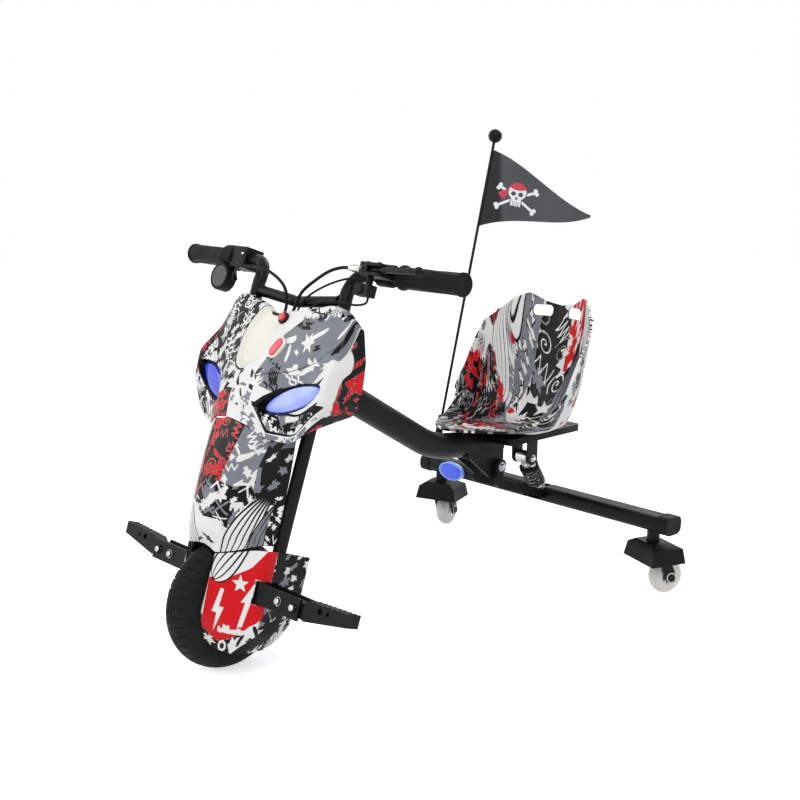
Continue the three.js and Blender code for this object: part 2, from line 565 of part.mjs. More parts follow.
// Front cowl: rows from its lower edge to its top lip, as shares of half width, depth and height
const cowlShares = [
  [[0, 0.99, 0.09], [0.235, 0.97, 0.07], [0.412, 0.81, 0.01], [0.641, 0.622, 0.01], [0.882, 0.624, 0.13],
    [0.931, 0.02, 0.29]],
  [[0, 1, 0.22], [0.235, 0.97, 0.22], [0.49, 0.83, 0.24], [0.75, 0.71, 0.28], [0.98, 0.733, 0.32], [0.98, 0.01, 0.35]],
  [[0, 0.9, 0.45], [0.235, 0.87, 0.45], [0.49, 0.73, 0.47], [0.75, 0.61, 0.5], [1, 0.745, 0.52], [0.98, 0, 0.48]],
  [[0, 0.72, 0.68], [0.235, 0.72, 0.7], [0.49, 0.67, 0.72], [0.745, 0.6, 0.73], [0.94, 0.485, 0.72],
    [0.98, 0.06, 0.66]],
  [[0, 0.58, 0.88], [0.235, 0.57, 0.91], [0.46, 0.54, 0.95], [0.667, 0.51, 0.99], [0.85, 0.43, 0.95],
    [0.97, 0.2, 0.84]],
  [[0, 0.48, 0.9], [0.235, 0.46, 0.93], [0.46, 0.42, 0.97], [0.667, 0.43, 1], [0.84, 0.36, 0.97], [0.95, 0.2, 0.87]],
];

function cowlGrid() {
  const depth = cowl.back - cowl.front;
  const height = cowl.high - cowl.low;
  const rows = cowlShares.map((row) => mirrored(row.map(([x, y, z]) => (
    point(cowl.half * x, cowl.back - depth * y, cowl.low + height * z)))));
  return refine(rows, 2);
}

// Sunk round dish beside the buttons
const dishShares = { x: 0, z: 0.72, width: 0.155, height: 0.21 };

function withDish(rows) {
  const height = cowl.high - cowl.low;
  rows.flat().forEach((p) => {
    const across = (p.x / cowl.half - dishShares.x) / dishShares.width;
    const up = ((p.z - cowl.low) / height - dishShares.z) / dishShares.height;
    const fall = Math.max(0, 1 - across * across - up * up);
    p.y += cowl.dish * Math.min(1, fall * 2);
  });
  return rows;
}

// Leaf-shaped lamp lens, pointed at its ends
function lensSolid(grow) {
  const half = lens.length / 2 + grow;
  const rise = lens.height / 2 + grow;
  const outline = Array.from({ length: lens.sides * 2 }, (_, k) => {
    const angle = (k / lens.sides) * Math.PI;
    const fullness = lens.blunt + (1 - lens.blunt) * Math.abs(Math.sin(angle));
    return new THREE.Vector2(half * Math.cos(angle), rise * Math.sin(angle) * fullness);
  });
  return new THREE.ExtrudeGeometry(new THREE.Shape(outline), { depth: lens.thick + grow, bevelEnabled: false })
    .translate(0, 0, -(lens.thick + grow) / 2)
    .rotateX(Math.PI / 2)
    .rotateY(-rad(lens.tilt))
    .rotateZ(rad(lens.turn))
    .translate(lens.x, lens.y, lens.z);
}

// Buttons in their sockets
function ovalButton(grow, inward) {
  const outline = roundRect(powerButton.width + grow * 2, powerButton.height + grow * 2, powerButton.width / 2 + grow);
  const outward = powerButton.length / 2 + grow;
  return new THREE.ExtrudeGeometry(outline, { depth: outward * 2 + inward, bevelEnabled: false })
    .translate(0, 0, -outward - inward)
    .rotateX(Math.PI / 2)
    .rotateY(-rad(powerButton.tilt))
    .rotateX(-rad(powerButton.pitch))
    .translate(powerButton.x, powerButton.y, powerButton.z);
}

function roundButton(grow, inward) {
  return new THREE.CylinderGeometry(modeButton.radius + grow, modeButton.radius + grow,
    modeButton.length + grow * 2 + inward, coarseSides)
    .translate(0, inward / 2, 0)
    .rotateX(-rad(modeButton.pitch))
    .translate(modeButton.x, modeButton.y, modeButton.z);
}

// Column cover: rows from the fender lip upwards
const columnShares = [
  [[0, 0.78, 0.03], [0.21, 0.79, 0.02], [0.421, 0.8, 0], [0.681, 0.62, 0.05], [0.861, 0.381, 0.12], [1, 0.181, 0.14]],
  [[0, 0.93, 0.14], [0.276, 0.91, 0.14], [0.534, 0.82, 0.14], [0.745, 0.58, 0.16], [0.861, 0.362, 0.18],
    [1, 0.181, 0.2]],
  [[0, 1, 0.34], [0.259, 0.97, 0.34], [0.502, 0.87, 0.34], [0.696, 0.6, 0.34], [0.861, 0.343, 0.34],
    [0.987, 0.181, 0.34]],
  [[0, 0.99, 0.7], [0.291, 0.96, 0.69], [0.534, 0.86, 0.68], [0.712, 0.62, 0.68], [0.835, 0.362, 0.68],
    [0.949, 0.181, 0.68]],
  [[0, 0.877, 1], [0.455, 0.858, 0.973], [0.797, 0.705, 0.917], [0.835, 0.533, 0.91], [0.861, 0.4, 0.93],
    [0.924, 0.219, 0.95]],
];

function columnGrid() {
  const depth = column.back - column.front;
  const height = column.high - column.low;
  return refine(columnShares.map((row) => mirrored(row.map(([x, y, z]) => (
    point(column.half * x, column.back - depth * y, column.low + height * z - seam))))), 2);
}

// Skirt beside the tyre: rows from its lower edge upwards
const skirtShares = [
  [[0.306, 0.836, 0.065], [0.469, 0.77, 0.013], [0.673, 0.639, 0], [0.837, 0.508, 0.039],
    [0.878, 0.295, 0.09], [0.837, 0.082, 0.194]],
  [[0.306, 0.967, 0.277], [0.531, 0.869, 0.258], [0.755, 0.73, 0.245], [1, 0.59, 0.258], [1, 0.295, 0.271],
    [0.939, 0.049, 0.335]],
  [[0.316, 0.984, 0.639], [0.551, 0.869, 0.639], [0.755, 0.721, 0.632], [0.954, 0.59, 0.632],
    [0.954, 0.295, 0.632], [0.969, 0, 0.645]],
  [[0.34, 1, 0.858], [0.551, 0.848, 0.913], [0.714, 0.689, 0.968], [0.89, 0.59, 0.994], [0.89, 0.295, 1],
    [0.98, 0.016, 0.994]],
];

function skirtGrid() {
  const depth = skirt.back - skirt.front;
  const height = skirt.high - skirt.low;
  return refine(skirtShares.map((row) => row.map(([x, y, z]) => (
    point(skirt.half * x, skirt.back - depth * y, skirt.low + height * z)))), 2);
}

// Front body
function bodyShells() {
  const lensCut = lensSolid(clearance);
  const shell = gridShell(withDish(cowlGrid()), cowl.wall, -1);
  const cowlBody = cut(shell, lensCut, mirrorX(lensCut), ovalButton(clearance, powerButton.travel + overrun),
    roundButton(clearance, modeButton.travel + overrun));
  const skirtShell = gridShell(skirtGrid(), skirt.wall, -1);
  const pack = roundBlock([-battery.half, battery.half], [battery.front, battery.back],
    [battery.low, fork.crownZ - clearance], battery.corner);
  const brain = roundBlock([-controller.half, controller.half], [controller.front, controller.back],
    [controller.low, fork.yokeZ - clearance], controller.corner);
  const rise = peg.bracketHeight / 2 + skirt.window;
  const window = block([fork.legX, skirt.half + overrun],
    [peg.bracketFront - peg.headLength - skirt.window, peg.bracketBack + skirt.window],
    [peg.pivotZ - rise, peg.pivotZ + rise]);
  const skirtLeft = cut(skirtShell, window);
  return [
    piece('front_cowl', cowlBody, look.print),
    piece('column_cover', gridShell(columnGrid(), column.wall, -1), look.print),
    piece('skirt_left', skirtLeft, look.print),
    piece('skirt_right', mirrorX(skirtLeft), look.print),
    piece('lamp_lens_left', lensSolid(0), look.lamp),
    piece('lamp_lens_right', mirrorX(lensSolid(0)), look.lamp),
    piece('power_button', ovalButton(0, 0), look.red),
    piece('mode_button', roundButton(0, 0), look.red),
    piece('battery_pack', pack, look.plastic),
    piece('controller', brain, look.alloy),
  ];
}

// Cables
function cables() {
  const boxTop = fork.yokeZ;
  const adjusterEnd = adjuster.start - adjuster.length - clearance * 2;
  const switchLow = switchBox.z - switchBox.height / 2 - clearance * 2;
  const podSide = -throttle.podX + throttle.podRadius + clearance * 2;
  const wireHigh = bar.topZ - perch.armHeight / 2 - cord.thinRadius - clearance * 2;
  const brake = through([adjusterEnd, perch.armY, bar.topZ], [98, -35, 503], [79, -38, 496], [54, -39, 480],
    [28, -37, 460], [13, -30, 440], [6, -29, 420], [4, -32, boxTop]);
  const brakeWire = through([adjuster.start + cord.thinRadius * 3, perch.armY + perch.armDepth, wireHigh],
    [122, -30, 491], [104, -34, 486], [71, -34, 474], [39, -32, 457], [20, -28, 440], [17, -29, 418],
    [16, -32, boxTop]);
  const throttleCable = through([podSide + clearance * 3, throttle.podY, throttle.podZ], [-164, -22, 476],
    [-140, -34, 486], [-100, -40, 488], [-52, -42, 484], [-14, -36, 464], [-9, -29, 440], [-10, -29, 418],
    [-10, -32, boxTop]);
  const switchWire = through([switchBox.x + switchBox.wireX, switchBox.y, switchLow], [162, -32, 459],
    [148, -34, 454], [124, -35, 454], [98, -34, 454], [70, -31, 452], [48, -27, 444], [34, -28, 428], [28, -29, 414],
    [28, -32, boxTop]);
  return [
    piece('brake_cable', sweep(brake, cord.radius, cord.shortSteps, cord.sides), look.rubber),
    piece('brake_switch_wire', sweep(brakeWire, cord.thinRadius, cord.shortSteps, cord.sides), look.rubber),
    piece('throttle_cable', sweep(throttleCable, cord.radius, cord.longSteps, cord.sides), look.rubber),
    piece('switch_wire', sweep(switchWire, cord.thinRadius, cord.longSteps, cord.sides), look.rubber),
  ];
}

// Main tube and its line in the middle plane
function tubeLine() {
  const fall = tube.dropAngle;
  const rest = tube.restAngle;
  const lineZ = (y) => tube.axisZ - (y - tube.axisY) * Math.tan(fall);
  const bendEndY = tube.bendY + tube.bendRadius * (Math.sin(fall) - Math.sin(rest));
  const bendEndZ = lineZ(tube.bendY) - tube.bendRadius * (Math.cos(rest) - Math.cos(fall));
  const bend = Array.from({ length: tube.bendSteps + 1 }, (_, k) => {
    const angle = THREE.MathUtils.lerp(fall, rest, k / tube.bendSteps);
    return point(0, tube.bendY + tube.bendRadius * (Math.sin(fall) - Math.sin(angle)),
      lineZ(tube.bendY) - tube.bendRadius * (Math.cos(angle) - Math.cos(fall)));
  });
  const end = point(0, tube.endY, bendEndZ - (tube.endY - bendEndY) * Math.tan(rest));
  return [point(0, tube.axisY, tube.axisZ), ...bend, end];
}

function mainTube(radius, bore) {
  const places = tubeLine();
  const path = new THREE.CurvePath();
  places.slice(1).forEach((p, k) => path.add(new THREE.LineCurve3(places[k], p)));
  return sweep(path, radius, tube.steps, tube.sides, bore);
}

// Main frame
function frameParts(rakedTool) {
  const headHole = rakedTool(rodZ(fork.crownZ, fork.yokeZ, 0, 0, headTube.radius + clearance, fineSides));
  const tubeBody = cut(mainTube(tube.radius, tube.radius - tube.wall), headHole);
  const tubeTool = mainTube(tube.radius + clearance, 0);
  const plateOuter = roundBlock([-plate.half, plate.half], [plate.front, plate.back], [plate.low, plate.high],
    plate.corner);
  const inside = roundBlock([-plate.half + plate.gauge, plate.half - plate.gauge],
    [plate.front + plate.gauge, plate.back - plate.gauge], [plate.low - overrun, plate.high - plate.gauge],
    plate.corner - plate.gauge);
  const cheek = (side) => {
    const x = side > 0 ? [shockTop.cheekX, shockTop.cheekX + shockTop.gauge]
      : [-shockTop.cheekX - shockTop.gauge, -shockTop.cheekX];
    const leaf = block(x, [shockTop.y - shockTop.width / 2, shockTop.y + shockTop.width / 2],
      [shockTop.z, plate.high - plate.gauge / 2]);
    return join(leaf, rodX(x[0], x[1], shockTop.y, shockTop.z, shockTop.radius, fineSides));
  };
  const boltReach = shockTop.cheekX + shockTop.gauge + overrun;
  const boltHole = rodX(-boltReach, boltReach, shockTop.y, shockTop.z, shockTop.boltRadius + clearance);
  const plateBody = cut(join(cut(plateOuter, inside), cheek(1), cheek(-1)), boltHole, tubeTool);
  const cheekLine = [[pivot.cheekFront, pivot.cheekTop], [pivot.cheekFront, pivot.z + pivot.headRadius * 3],
    [pivot.y - pivot.headRadius * 2, pivot.cheekLow], [pivot.y + pivot.headRadius, pivot.cheekLow],
    [pivot.cheekBack, pivot.z + pivot.headRadius], [pivot.cheekBack, pivot.cheekTop]];
  const left = plateX(cheekLine, pivot.cheekX, pivot.cheekX + pivot.cheekGauge);
  const right = plateX(cheekLine, -pivot.cheekX - pivot.cheekGauge, -pivot.cheekX);
  const webHalf = pivot.cheekX + pivot.cheekGauge / 2;
  const web = block([-webHalf, webHalf], [pivot.cheekFront, pivot.cheekFront + pivot.cheekGauge],
    [pivot.z + pivot.headRadius * 2.4, pivot.cheekTop]);
  const reach = pivot.cheekX + pivot.cheekGauge + overrun;
  const pinHole = rodX(-reach, reach, pivot.y, pivot.z, pivot.boltRadius + clearance);
  const bracket = cut(join(left, right, web), pinHole, tubeTool);
  const armOuter = beam.armX + beam.armGauge + clearance;
  const boltProfile = [[pivot.boltRadius, 0], [pivot.boltRadius, armOuter], [pivot.headRadius, armOuter],
    [pivot.headRadius, armOuter + pivot.headLength], [0, armOuter + pivot.headLength]];
  const bolt = lathe([...boltProfile.slice(1).map(([r, x]) => [r, -x]).reverse(), ...boltProfile.slice(1)],
    coarseSides, true).translate(0, pivot.y, pivot.z);
  const topReach = shockTop.cheekX + shockTop.gauge + clearance;
  const topBolt = lathe([[0, -topReach - shockTop.head], [shock.boltHead, -topReach - shockTop.head],
    [shock.boltHead, -topReach], [shockTop.boltRadius, -topReach], [shockTop.boltRadius, topReach],
    [shock.boltHead, topReach], [shock.boltHead, topReach + shockTop.head], [0, topReach + shockTop.head]],
  coarseSides, true).translate(0, shockTop.y, shockTop.z);
  return [
    piece('main_tube', tubeBody, look.paint),
    piece('seat_plate', plateBody, look.paint),
    piece('pivot_bracket', bracket, look.paint),
    piece('pivot_bolt', bolt, look.steel),
    piece('shock_top_bolt', topBolt, look.steel),
  ];
}

// Head tube and its two bearings, in the raked frame
function headParts() {
  const low = fork.crownZ + fork.crownThick;
  const high = fork.yokeZ;
  const ring = (inner, outer, z0, z1) => lathe(closed([[inner, z0], [outer, z0], [outer, z1], [inner, z1]]));
  const inner = stem.radius + clearance;
  return [
    piece('head_tube', ring(headTube.bore, headTube.radius, low + headTube.lowGap, high - headTube.highGap), look.paint),
    piece('lower_bearing', ring(inner, bearing.radius, low + clearance, low + headTube.lowGap - clearance), look.steel),
    piece('upper_bearing', ring(inner, bearing.radius, high - headTube.highGap + clearance, high - clearance), look.steel),
  ];
}

// Bucket seat: rows from the front lip over the pan and up the back, as shares of half width, depth and height
const seatShares = [
  [[0, 0, 0.095], [0.32, 0.064, 0.095], [0.62, 0.225, 0.08], [0.86, 0.44, 0.16], [0.97, 0.514, 0.26]],
  [[0, 0.16, 0.084], [0.32, 0.214, 0.076], [0.62, 0.32, 0.056], [0.86, 0.45, 0.11], [1, 0.545, 0.32]],
  [[0, 0.353, 0.078], [0.32, 0.385, 0.05], [0.62, 0.45, 0.026], [0.84, 0.514, 0.062], [1, 0.59, 0.43]],
  [[0, 0.54, 0], [0.32, 0.56, 0], [0.62, 0.59, 0.016], [0.84, 0.605, 0.095], [1, 0.64, 0.55]],
  [[0, 0.72, 0], [0.32, 0.735, 0.004], [0.62, 0.735, 0.034], [0.86, 0.675, 0.165], [1, 0.68, 0.64]],
  [[0, 0.86, 0.1], [0.32, 0.855, 0.11], [0.62, 0.82, 0.165], [0.88, 0.735, 0.36], [1, 0.72, 0.71]],
  [[0, 0.93, 0.385], [0.32, 0.918, 0.39], [0.62, 0.87, 0.44], [0.86, 0.785, 0.56], [0.99, 0.75, 0.77]],
  [[0, 0.97, 0.69], [0.32, 0.955, 0.7], [0.6, 0.905, 0.725], [0.83, 0.835, 0.78], [0.94, 0.785, 0.805]],
  [[0, 1, 0.905], [0.27, 0.985, 0.93], [0.51, 0.94, 1], [0.7, 0.885, 0.95], [0.86, 0.82, 0.85]],
];

function seatShell() {
  const depth = seat.back - seat.front;
  const height = seat.high - seat.low;
  const rows = refine(seatShares.map((row) => mirrored(row.map(([x, y, z]) => (
    point(seat.half * x, seat.front + depth * y, seat.low + height * z))))), 2);
  const shell = gridShell(rows, seat.wall, 1);
  const slot = (side) => roundBlock(side > 0 ? [seat.holeInner, seat.holeOuter] : [-seat.holeOuter, -seat.holeInner],
    [seat.back - seat.holeDepth, seat.back + overrun], [seat.holeLow, seat.holeHigh], seat.holeCorner, 'y');
  return cut(shell, slot(1), slot(-1));
}

// Flag, pole and socket
function flagParts() {
  const foot = point(flag.x, flag.footY, flag.footZ);
  const top = point(flag.x, flag.topY, flag.topZ);
  const up = top.clone().sub(foot).normalize();
  const along = (distance) => foot.clone().addScaledVector(up, distance);
  const start = along(-flag.socketLength / 2);
  const pole = rod(start, top, flag.poleRadius, coarseSides);
  const ball = new THREE.SphereGeometry(flag.ballRadius, coarseSides, coarseSides).translate(top.x, top.y, top.z);
  const socketLow = along(-flag.socketLength / 2 - clearance * 2);
  const socket = rod(along(-flag.socketLength), along(flag.socketLength / 4), flag.socketRadius, coarseSides);
  const armHigh = plate.low + flag.armGauge;
  const arm = block([flag.x, -plate.half - clearance], [flag.footY - flag.armWidth / 2, flag.footY + flag.armWidth / 2],
    [plate.low, armHigh]);
  const socketHole = rod(socketLow, along(flag.socketLength), flag.poleRadius + clearance, coarseSides);
  const holder = cut(join(socket, arm), socketHole);
  const share = (z) => (z - flag.footZ) / (flag.topZ - flag.footZ);
  const atZ = (z) => foot.clone().lerp(top, share(z));
  const out = point(Math.SQRT1_2, Math.SQRT1_2, 0);
  const face = point(Math.SQRT1_2, -Math.SQRT1_2, 0);
  const offset = flag.poleRadius + clearance;
  const hoistHigh = flag.topZ - flag.hoistGap;
  const hoistLow = hoistHigh - flag.hoist;
  const middle = (hoistLow + hoistHigh) / 2;
  const grid = Array.from({ length: flag.rows + 1 }, (_, i) => Array.from({ length: flag.columns + 1 }, (_, j) => {
    const u = j / flag.columns;
    const z = THREE.MathUtils.lerp(hoistLow, hoistHigh, i / flag.rows);
    const hoist = atZ(z);
    const tip = atZ(middle);
    const p = hoist.lerp(tip, u * flag.gatherShare).addScaledVector(out, offset + flag.fly * u);
    p.z -= flag.tipDrop * u * u;
    return p.addScaledVector(face, flag.wave * Math.sin(u * Math.PI * 2 * flag.folds) * u);
  }));
  return [
    piece('flag_bracket', holder, look.paint),
    piece('flag_pole', join(pole, ball), look.paint),
    piece('flag_cloth', gridShell(grid, flag.cloth, 1), look.cloth),
  ];
}

// Rear beam with arms and shock lugs
function beamBody() {
  const front = beam.y - beam.depth / 2;
  const low = beam.z - beam.height / 2;
  const high = beam.z + beam.height / 2;
  const bar0 = roundBlock([-beam.half, beam.half], [front, beam.y + beam.depth / 2], [low, high], beam.corner, 'x');
  const pocket = block([-beam.pocketHalf, beam.pocketHalf], [front - overrun, beam.y + beam.depth / 2 - beam.wall],
    [low + beam.wall, high + overrun]);
  const hub = new THREE.Vector2(pivot.y, pivot.z);
  const elbow = new THREE.Vector2(beam.elbowY, beam.elbowZ);
  const root = new THREE.Vector2(front + beam.corner, beam.z);
  const strap = (start, end, x) => {
    const normal = end.clone().sub(start).rotateAround(new THREE.Vector2(), Math.PI / 2).setLength(beam.armHeight / 2);
    const outline = [start.clone().sub(normal), end.clone().sub(normal), end.clone().add(normal),
      start.clone().add(normal)];
    return plateX(outline.map((p) => [p.x, p.y]), x[0], x[1]);
  };
  const arms = [1, -1].flatMap((side) => {
    const x = side > 0 ? [beam.armX, beam.armX + beam.armGauge] : [-beam.armX - beam.armGauge, -beam.armX];
    return [strap(hub, elbow, x), strap(elbow, root, x), rodX(x[0], x[1], elbow.x, elbow.y, beam.armHeight / 2, fineSides),
      rodX(x[0], x[1], pivot.y, pivot.z, beam.armEye, fineSides)];
  });
  const lugs = [1, -1].map((side) => {
    const x = side > 0 ? [beam.lugX, beam.lugX + beam.lugGauge] : [-beam.lugX - beam.lugGauge, -beam.lugX];
    return block(x, [front + beam.corner / 2, beam.y + beam.depth / 2 - beam.wall / 2],
      [low + beam.wall / 2, beam.eyeZ + beam.lugRise]);
  });
  const lugOuter = beam.lugX + beam.lugGauge;
  const pin = rodX(-lugOuter, lugOuter, beam.eyeY, beam.eyeZ, shock.boltRadius);
  const reach = beam.armX + beam.armGauge + overrun;
  const pinHole = rodX(-reach, reach, pivot.y, pivot.z, pivot.boltRadius + clearance);
  const stemHole = (side) => rodZ(low - overrun, low + beam.wall, side * caster.x, beam.y,
    caster.tenonRadius + clearance, fineSides);
  return cut(join(cut(bar0, pocket), ...arms, ...lugs, pin), pinHole, stemHole(1), stemHole(-1));
}

function rearParts() {
  const low = beam.z - beam.height / 2;
  const high = beam.z + beam.height / 2;
  const front = beam.y - beam.depth / 2;
  const back = beam.y + beam.depth / 2;
  const capBody = cut(
    roundBlock([cap.start, cap.end], [front - cap.grow, back + cap.grow], [low - cap.grow, high + cap.grow], cap.round, 'x'),
    roundBlock([cap.start - overrun, beam.half + clearance], [front - clearance, back + clearance],
      [low - clearance, high + clearance], beam.corner, 'x'));
  const lampShape = new THREE.Shape();
  lampShape.absellipse(0, 0, lamp.halfWidth, lamp.halfHeight, 0, Math.PI * 2);
  const lampBody = new THREE.ExtrudeGeometry(new THREE.Shape(lampShape.getPoints(lamp.steps).slice(0, -1)),
    { depth: lamp.thick, bevelEnabled: false })
    .rotateX(Math.PI / 2).translate(lamp.x, front - clearance, beam.z - clearance);
  return [
    piece('rear_beam', beamBody(), look.paint),
    piece('end_cap_left', capBody, look.rubber),
    piece('end_cap_right', mirrorX(capBody), look.rubber),
    piece('rear_lamp', lampBody, look.lamp),
  ];
}

// Shock absorber, drawn upright from its lower eye and then leaned
const shockAxis = point(0, shockTop.y - beam.eyeY, shockTop.z - beam.eyeZ);
const shockLength = shockAxis.length();

function leanShock(geometry) {
  const angle = Math.atan2(beam.eyeY - shockTop.y, shockTop.z - beam.eyeZ);
  return geometry.rotateX(angle).translate(0, beam.eyeY, beam.eyeZ);
}

function springSolid() {
  const { turnSteps, wireSides: sides } = shock;
  const total = shock.turns * turnSteps;
  const low = shock.springStart + shock.wire / 2;
  const straight = shock.wire;
  const rise = shock.springEnd - shock.springStart - straight * 2;
  const centre = [point(shock.springRadius, 0, shock.springStart)];
  for (let k = 0; k <= total; k += 1) {
    const angle = (k / turnSteps) * Math.PI * 2;
    centre.push(point(shock.springRadius * Math.cos(angle), shock.springRadius * Math.sin(angle),
      shock.springStart + straight + rise * (k / total)));
  }
  centre.push(point(shock.springRadius, 0, shock.springEnd));
  const rings = centre.map((p, k) => {
    const ends = k === 0 || k === centre.length - 1;
    const outward = point(p.x, p.y, 0).normalize();
    const before = centre[Math.max(k - 1, 0)];
    const after = centre[Math.min(k + 1, centre.length - 1)];
    const axis = ends ? point(0, 0, 1) : after.clone().sub(before).normalize();
    const second = axis.clone().cross(outward).normalize();
    return Array.from({ length: sides }, (_, s) => {
      const angle = (s / sides) * Math.PI * 2;
      return p.clone().addScaledVector(outward, (shock.wire / 2) * Math.cos(angle))
        .addScaledVector(second, (shock.wire / 2) * Math.sin(angle));
    });
  });
  let least = Infinity;
  centre.forEach((p, k) => centre.forEach((q, m) => {
    if (m - k > turnSteps / 2) {
      least = Math.min(least, p.distanceTo(q) - shock.wire);
    }
  }));
  console.log(`least gap of the spring to itself ${least.toFixed(2)} mm, first turn from ${low.toFixed(1)} mm`);
  const vertices = rings.flat().flatMap((p) => [p.x, p.y, p.z]);
  const faces = [];
  for (let k = 0; k < rings.length - 1; k += 1) {
    for (let s = 0; s < sides; s += 1) {
      const next = (s + 1) % sides;
      const [a, b] = [k * sides + s, k * sides + next];
      faces.push(a, b, b + sides, a, b + sides, a + sides);
    }
  }
  const lastRing = (rings.length - 1) * sides;
  for (let s = 1; s < sides - 1; s += 1) {
    faces.push(0, s + 1, s, lastRing, lastRing + s, lastRing + s + 1);
  }
  const geometry = new THREE.BufferGeometry();
  geometry.setAttribute('position', new THREE.BufferAttribute(new Float32Array(vertices), 3));
  geometry.setIndex(faces);
  return geometry;
}

function shockParts() {
  const eyeHalf = shock.eyeWidth / 2;
  const cupTop = shock.cupStart + shock.cupThick;
  const rodShape = lathe([[0, shock.eyeRadius / 2], [shock.neck, shock.eyeRadius / 2], [shock.neck, shock.cupStart],
    [shock.cupRadius, shock.cupStart], [shock.cupRadius, cupTop], [shock.rodRadius, cupTop],
    [shock.rodRadius, shock.rodEnd], [0, shock.rodEnd]]);
  const lowerEye = rodX(-eyeHalf, eyeHalf, 0, 0, shock.eyeRadius, fineSides);
  const lowerHole = rodX(-eyeHalf - overrun, eyeHalf + overrun, 0, 0, shock.eyeBore, fineSides);
  const rodBody = cut(join(rodShape, lowerEye), lowerHole);

  const collarStart = shock.springEnd + clearance;
  const collarEnd = collarStart + shock.collarThick;
  const bodyTop = shockLength - shock.topEyeRadius / 2;
  const tubeShape = lathe([[0, shock.bodyStart], [shock.bodyRadius, shock.bodyStart],
    [shock.bodyRadius, bodyTop], [0, bodyTop]]);
  const collar = lathe([[0, collarStart], [shock.collarRadius, collarStart],
    [shock.collarRadius, collarEnd], [0, collarEnd]]);
  const notches = Array.from({ length: shock.collarTeeth }, (_, k) => {
    const angle = (k / shock.collarTeeth) * Math.PI * 2;
    return rodZ(collarStart - overrun, collarEnd + overrun, shock.collarRadius * Math.cos(angle),
      shock.collarRadius * Math.sin(angle), shock.toothRadius, shock.toothSides);
  });
  const upperEye = rodX(-eyeHalf, eyeHalf, 0, shockLength, shock.topEyeRadius, fineSides);
  const knobAt = collarEnd + shock.knobRise;
  const knob = rod(point(0, 0, knobAt), point(shock.knobReach, 0, knobAt), shock.knobRadius);
  const upperHole = rodX(-eyeHalf - overrun, eyeHalf + overrun, 0, shockLength, shockTop.boltRadius + clearance,
    fineSides);
  const rodSpace = rodZ(shock.bodyStart - overrun, shock.rodEnd + shock.knobRadius * 2, 0, 0, shock.bore, fineSides);
  const body = cut(join(tubeShape, cut(collar, ...notches), upperEye, knob), upperHole, rodSpace);
  return [
    piece('shock_body', leanShock(body), look.alloy),
    piece('shock_spring', leanShock(springSolid()), look.plastic),
    piece('shock_rod', leanShock(rodBody), look.steel),
  ];
}

// Casters, drawn about their swivel axis
const hoodShares = { half: 0.88, front: 0.86, back: 0.92 };

function hoodFrustum(inset) {
  const foot = inset > 0 ? overrun : 0;
  const rows = [
    [caster.hoodLow - foot, caster.hoodHalf, caster.hoodFront, caster.hoodBack],
    [caster.hoodShoulder - inset, caster.hoodHalf * hoodShares.half, caster.hoodFront * hoodShares.front,
      caster.hoodBack * hoodShares.back],
    [caster.hoodTop - inset, caster.hoodTopHalf, caster.hoodTopFront, caster.hoodTopBack],
  ].map(([z, half, front, back]) => [z, half - inset, front + inset, back - inset]);
  const corners = rows.flatMap(([z, half, front, back]) => [
    point(-half, front, z), point(half, front, z), point(half, back, z), point(-half, back, z)]);
  const faces = [0, 2, 1, 0, 3, 2];
  for (let k = 0; k < rows.length - 1; k += 1) {
    for (let s = 0; s < 4; s += 1) {
      const a = k * 4 + s;
      const b = k * 4 + ((s + 1) % 4);
      faces.push(a, b, b + 4, a, b + 4, a + 4);
    }
  }
  const top = (rows.length - 1) * 4;
  faces.push(top, top + 1, top + 2, top, top + 2, top + 3);
  const geometry = new THREE.BufferGeometry();
  geometry.setAttribute('position', new THREE.BufferAttribute(
    new Float32Array(corners.flatMap((p) => [p.x, p.y, p.z])), 3));
  geometry.setIndex(faces);
  return geometry;
}

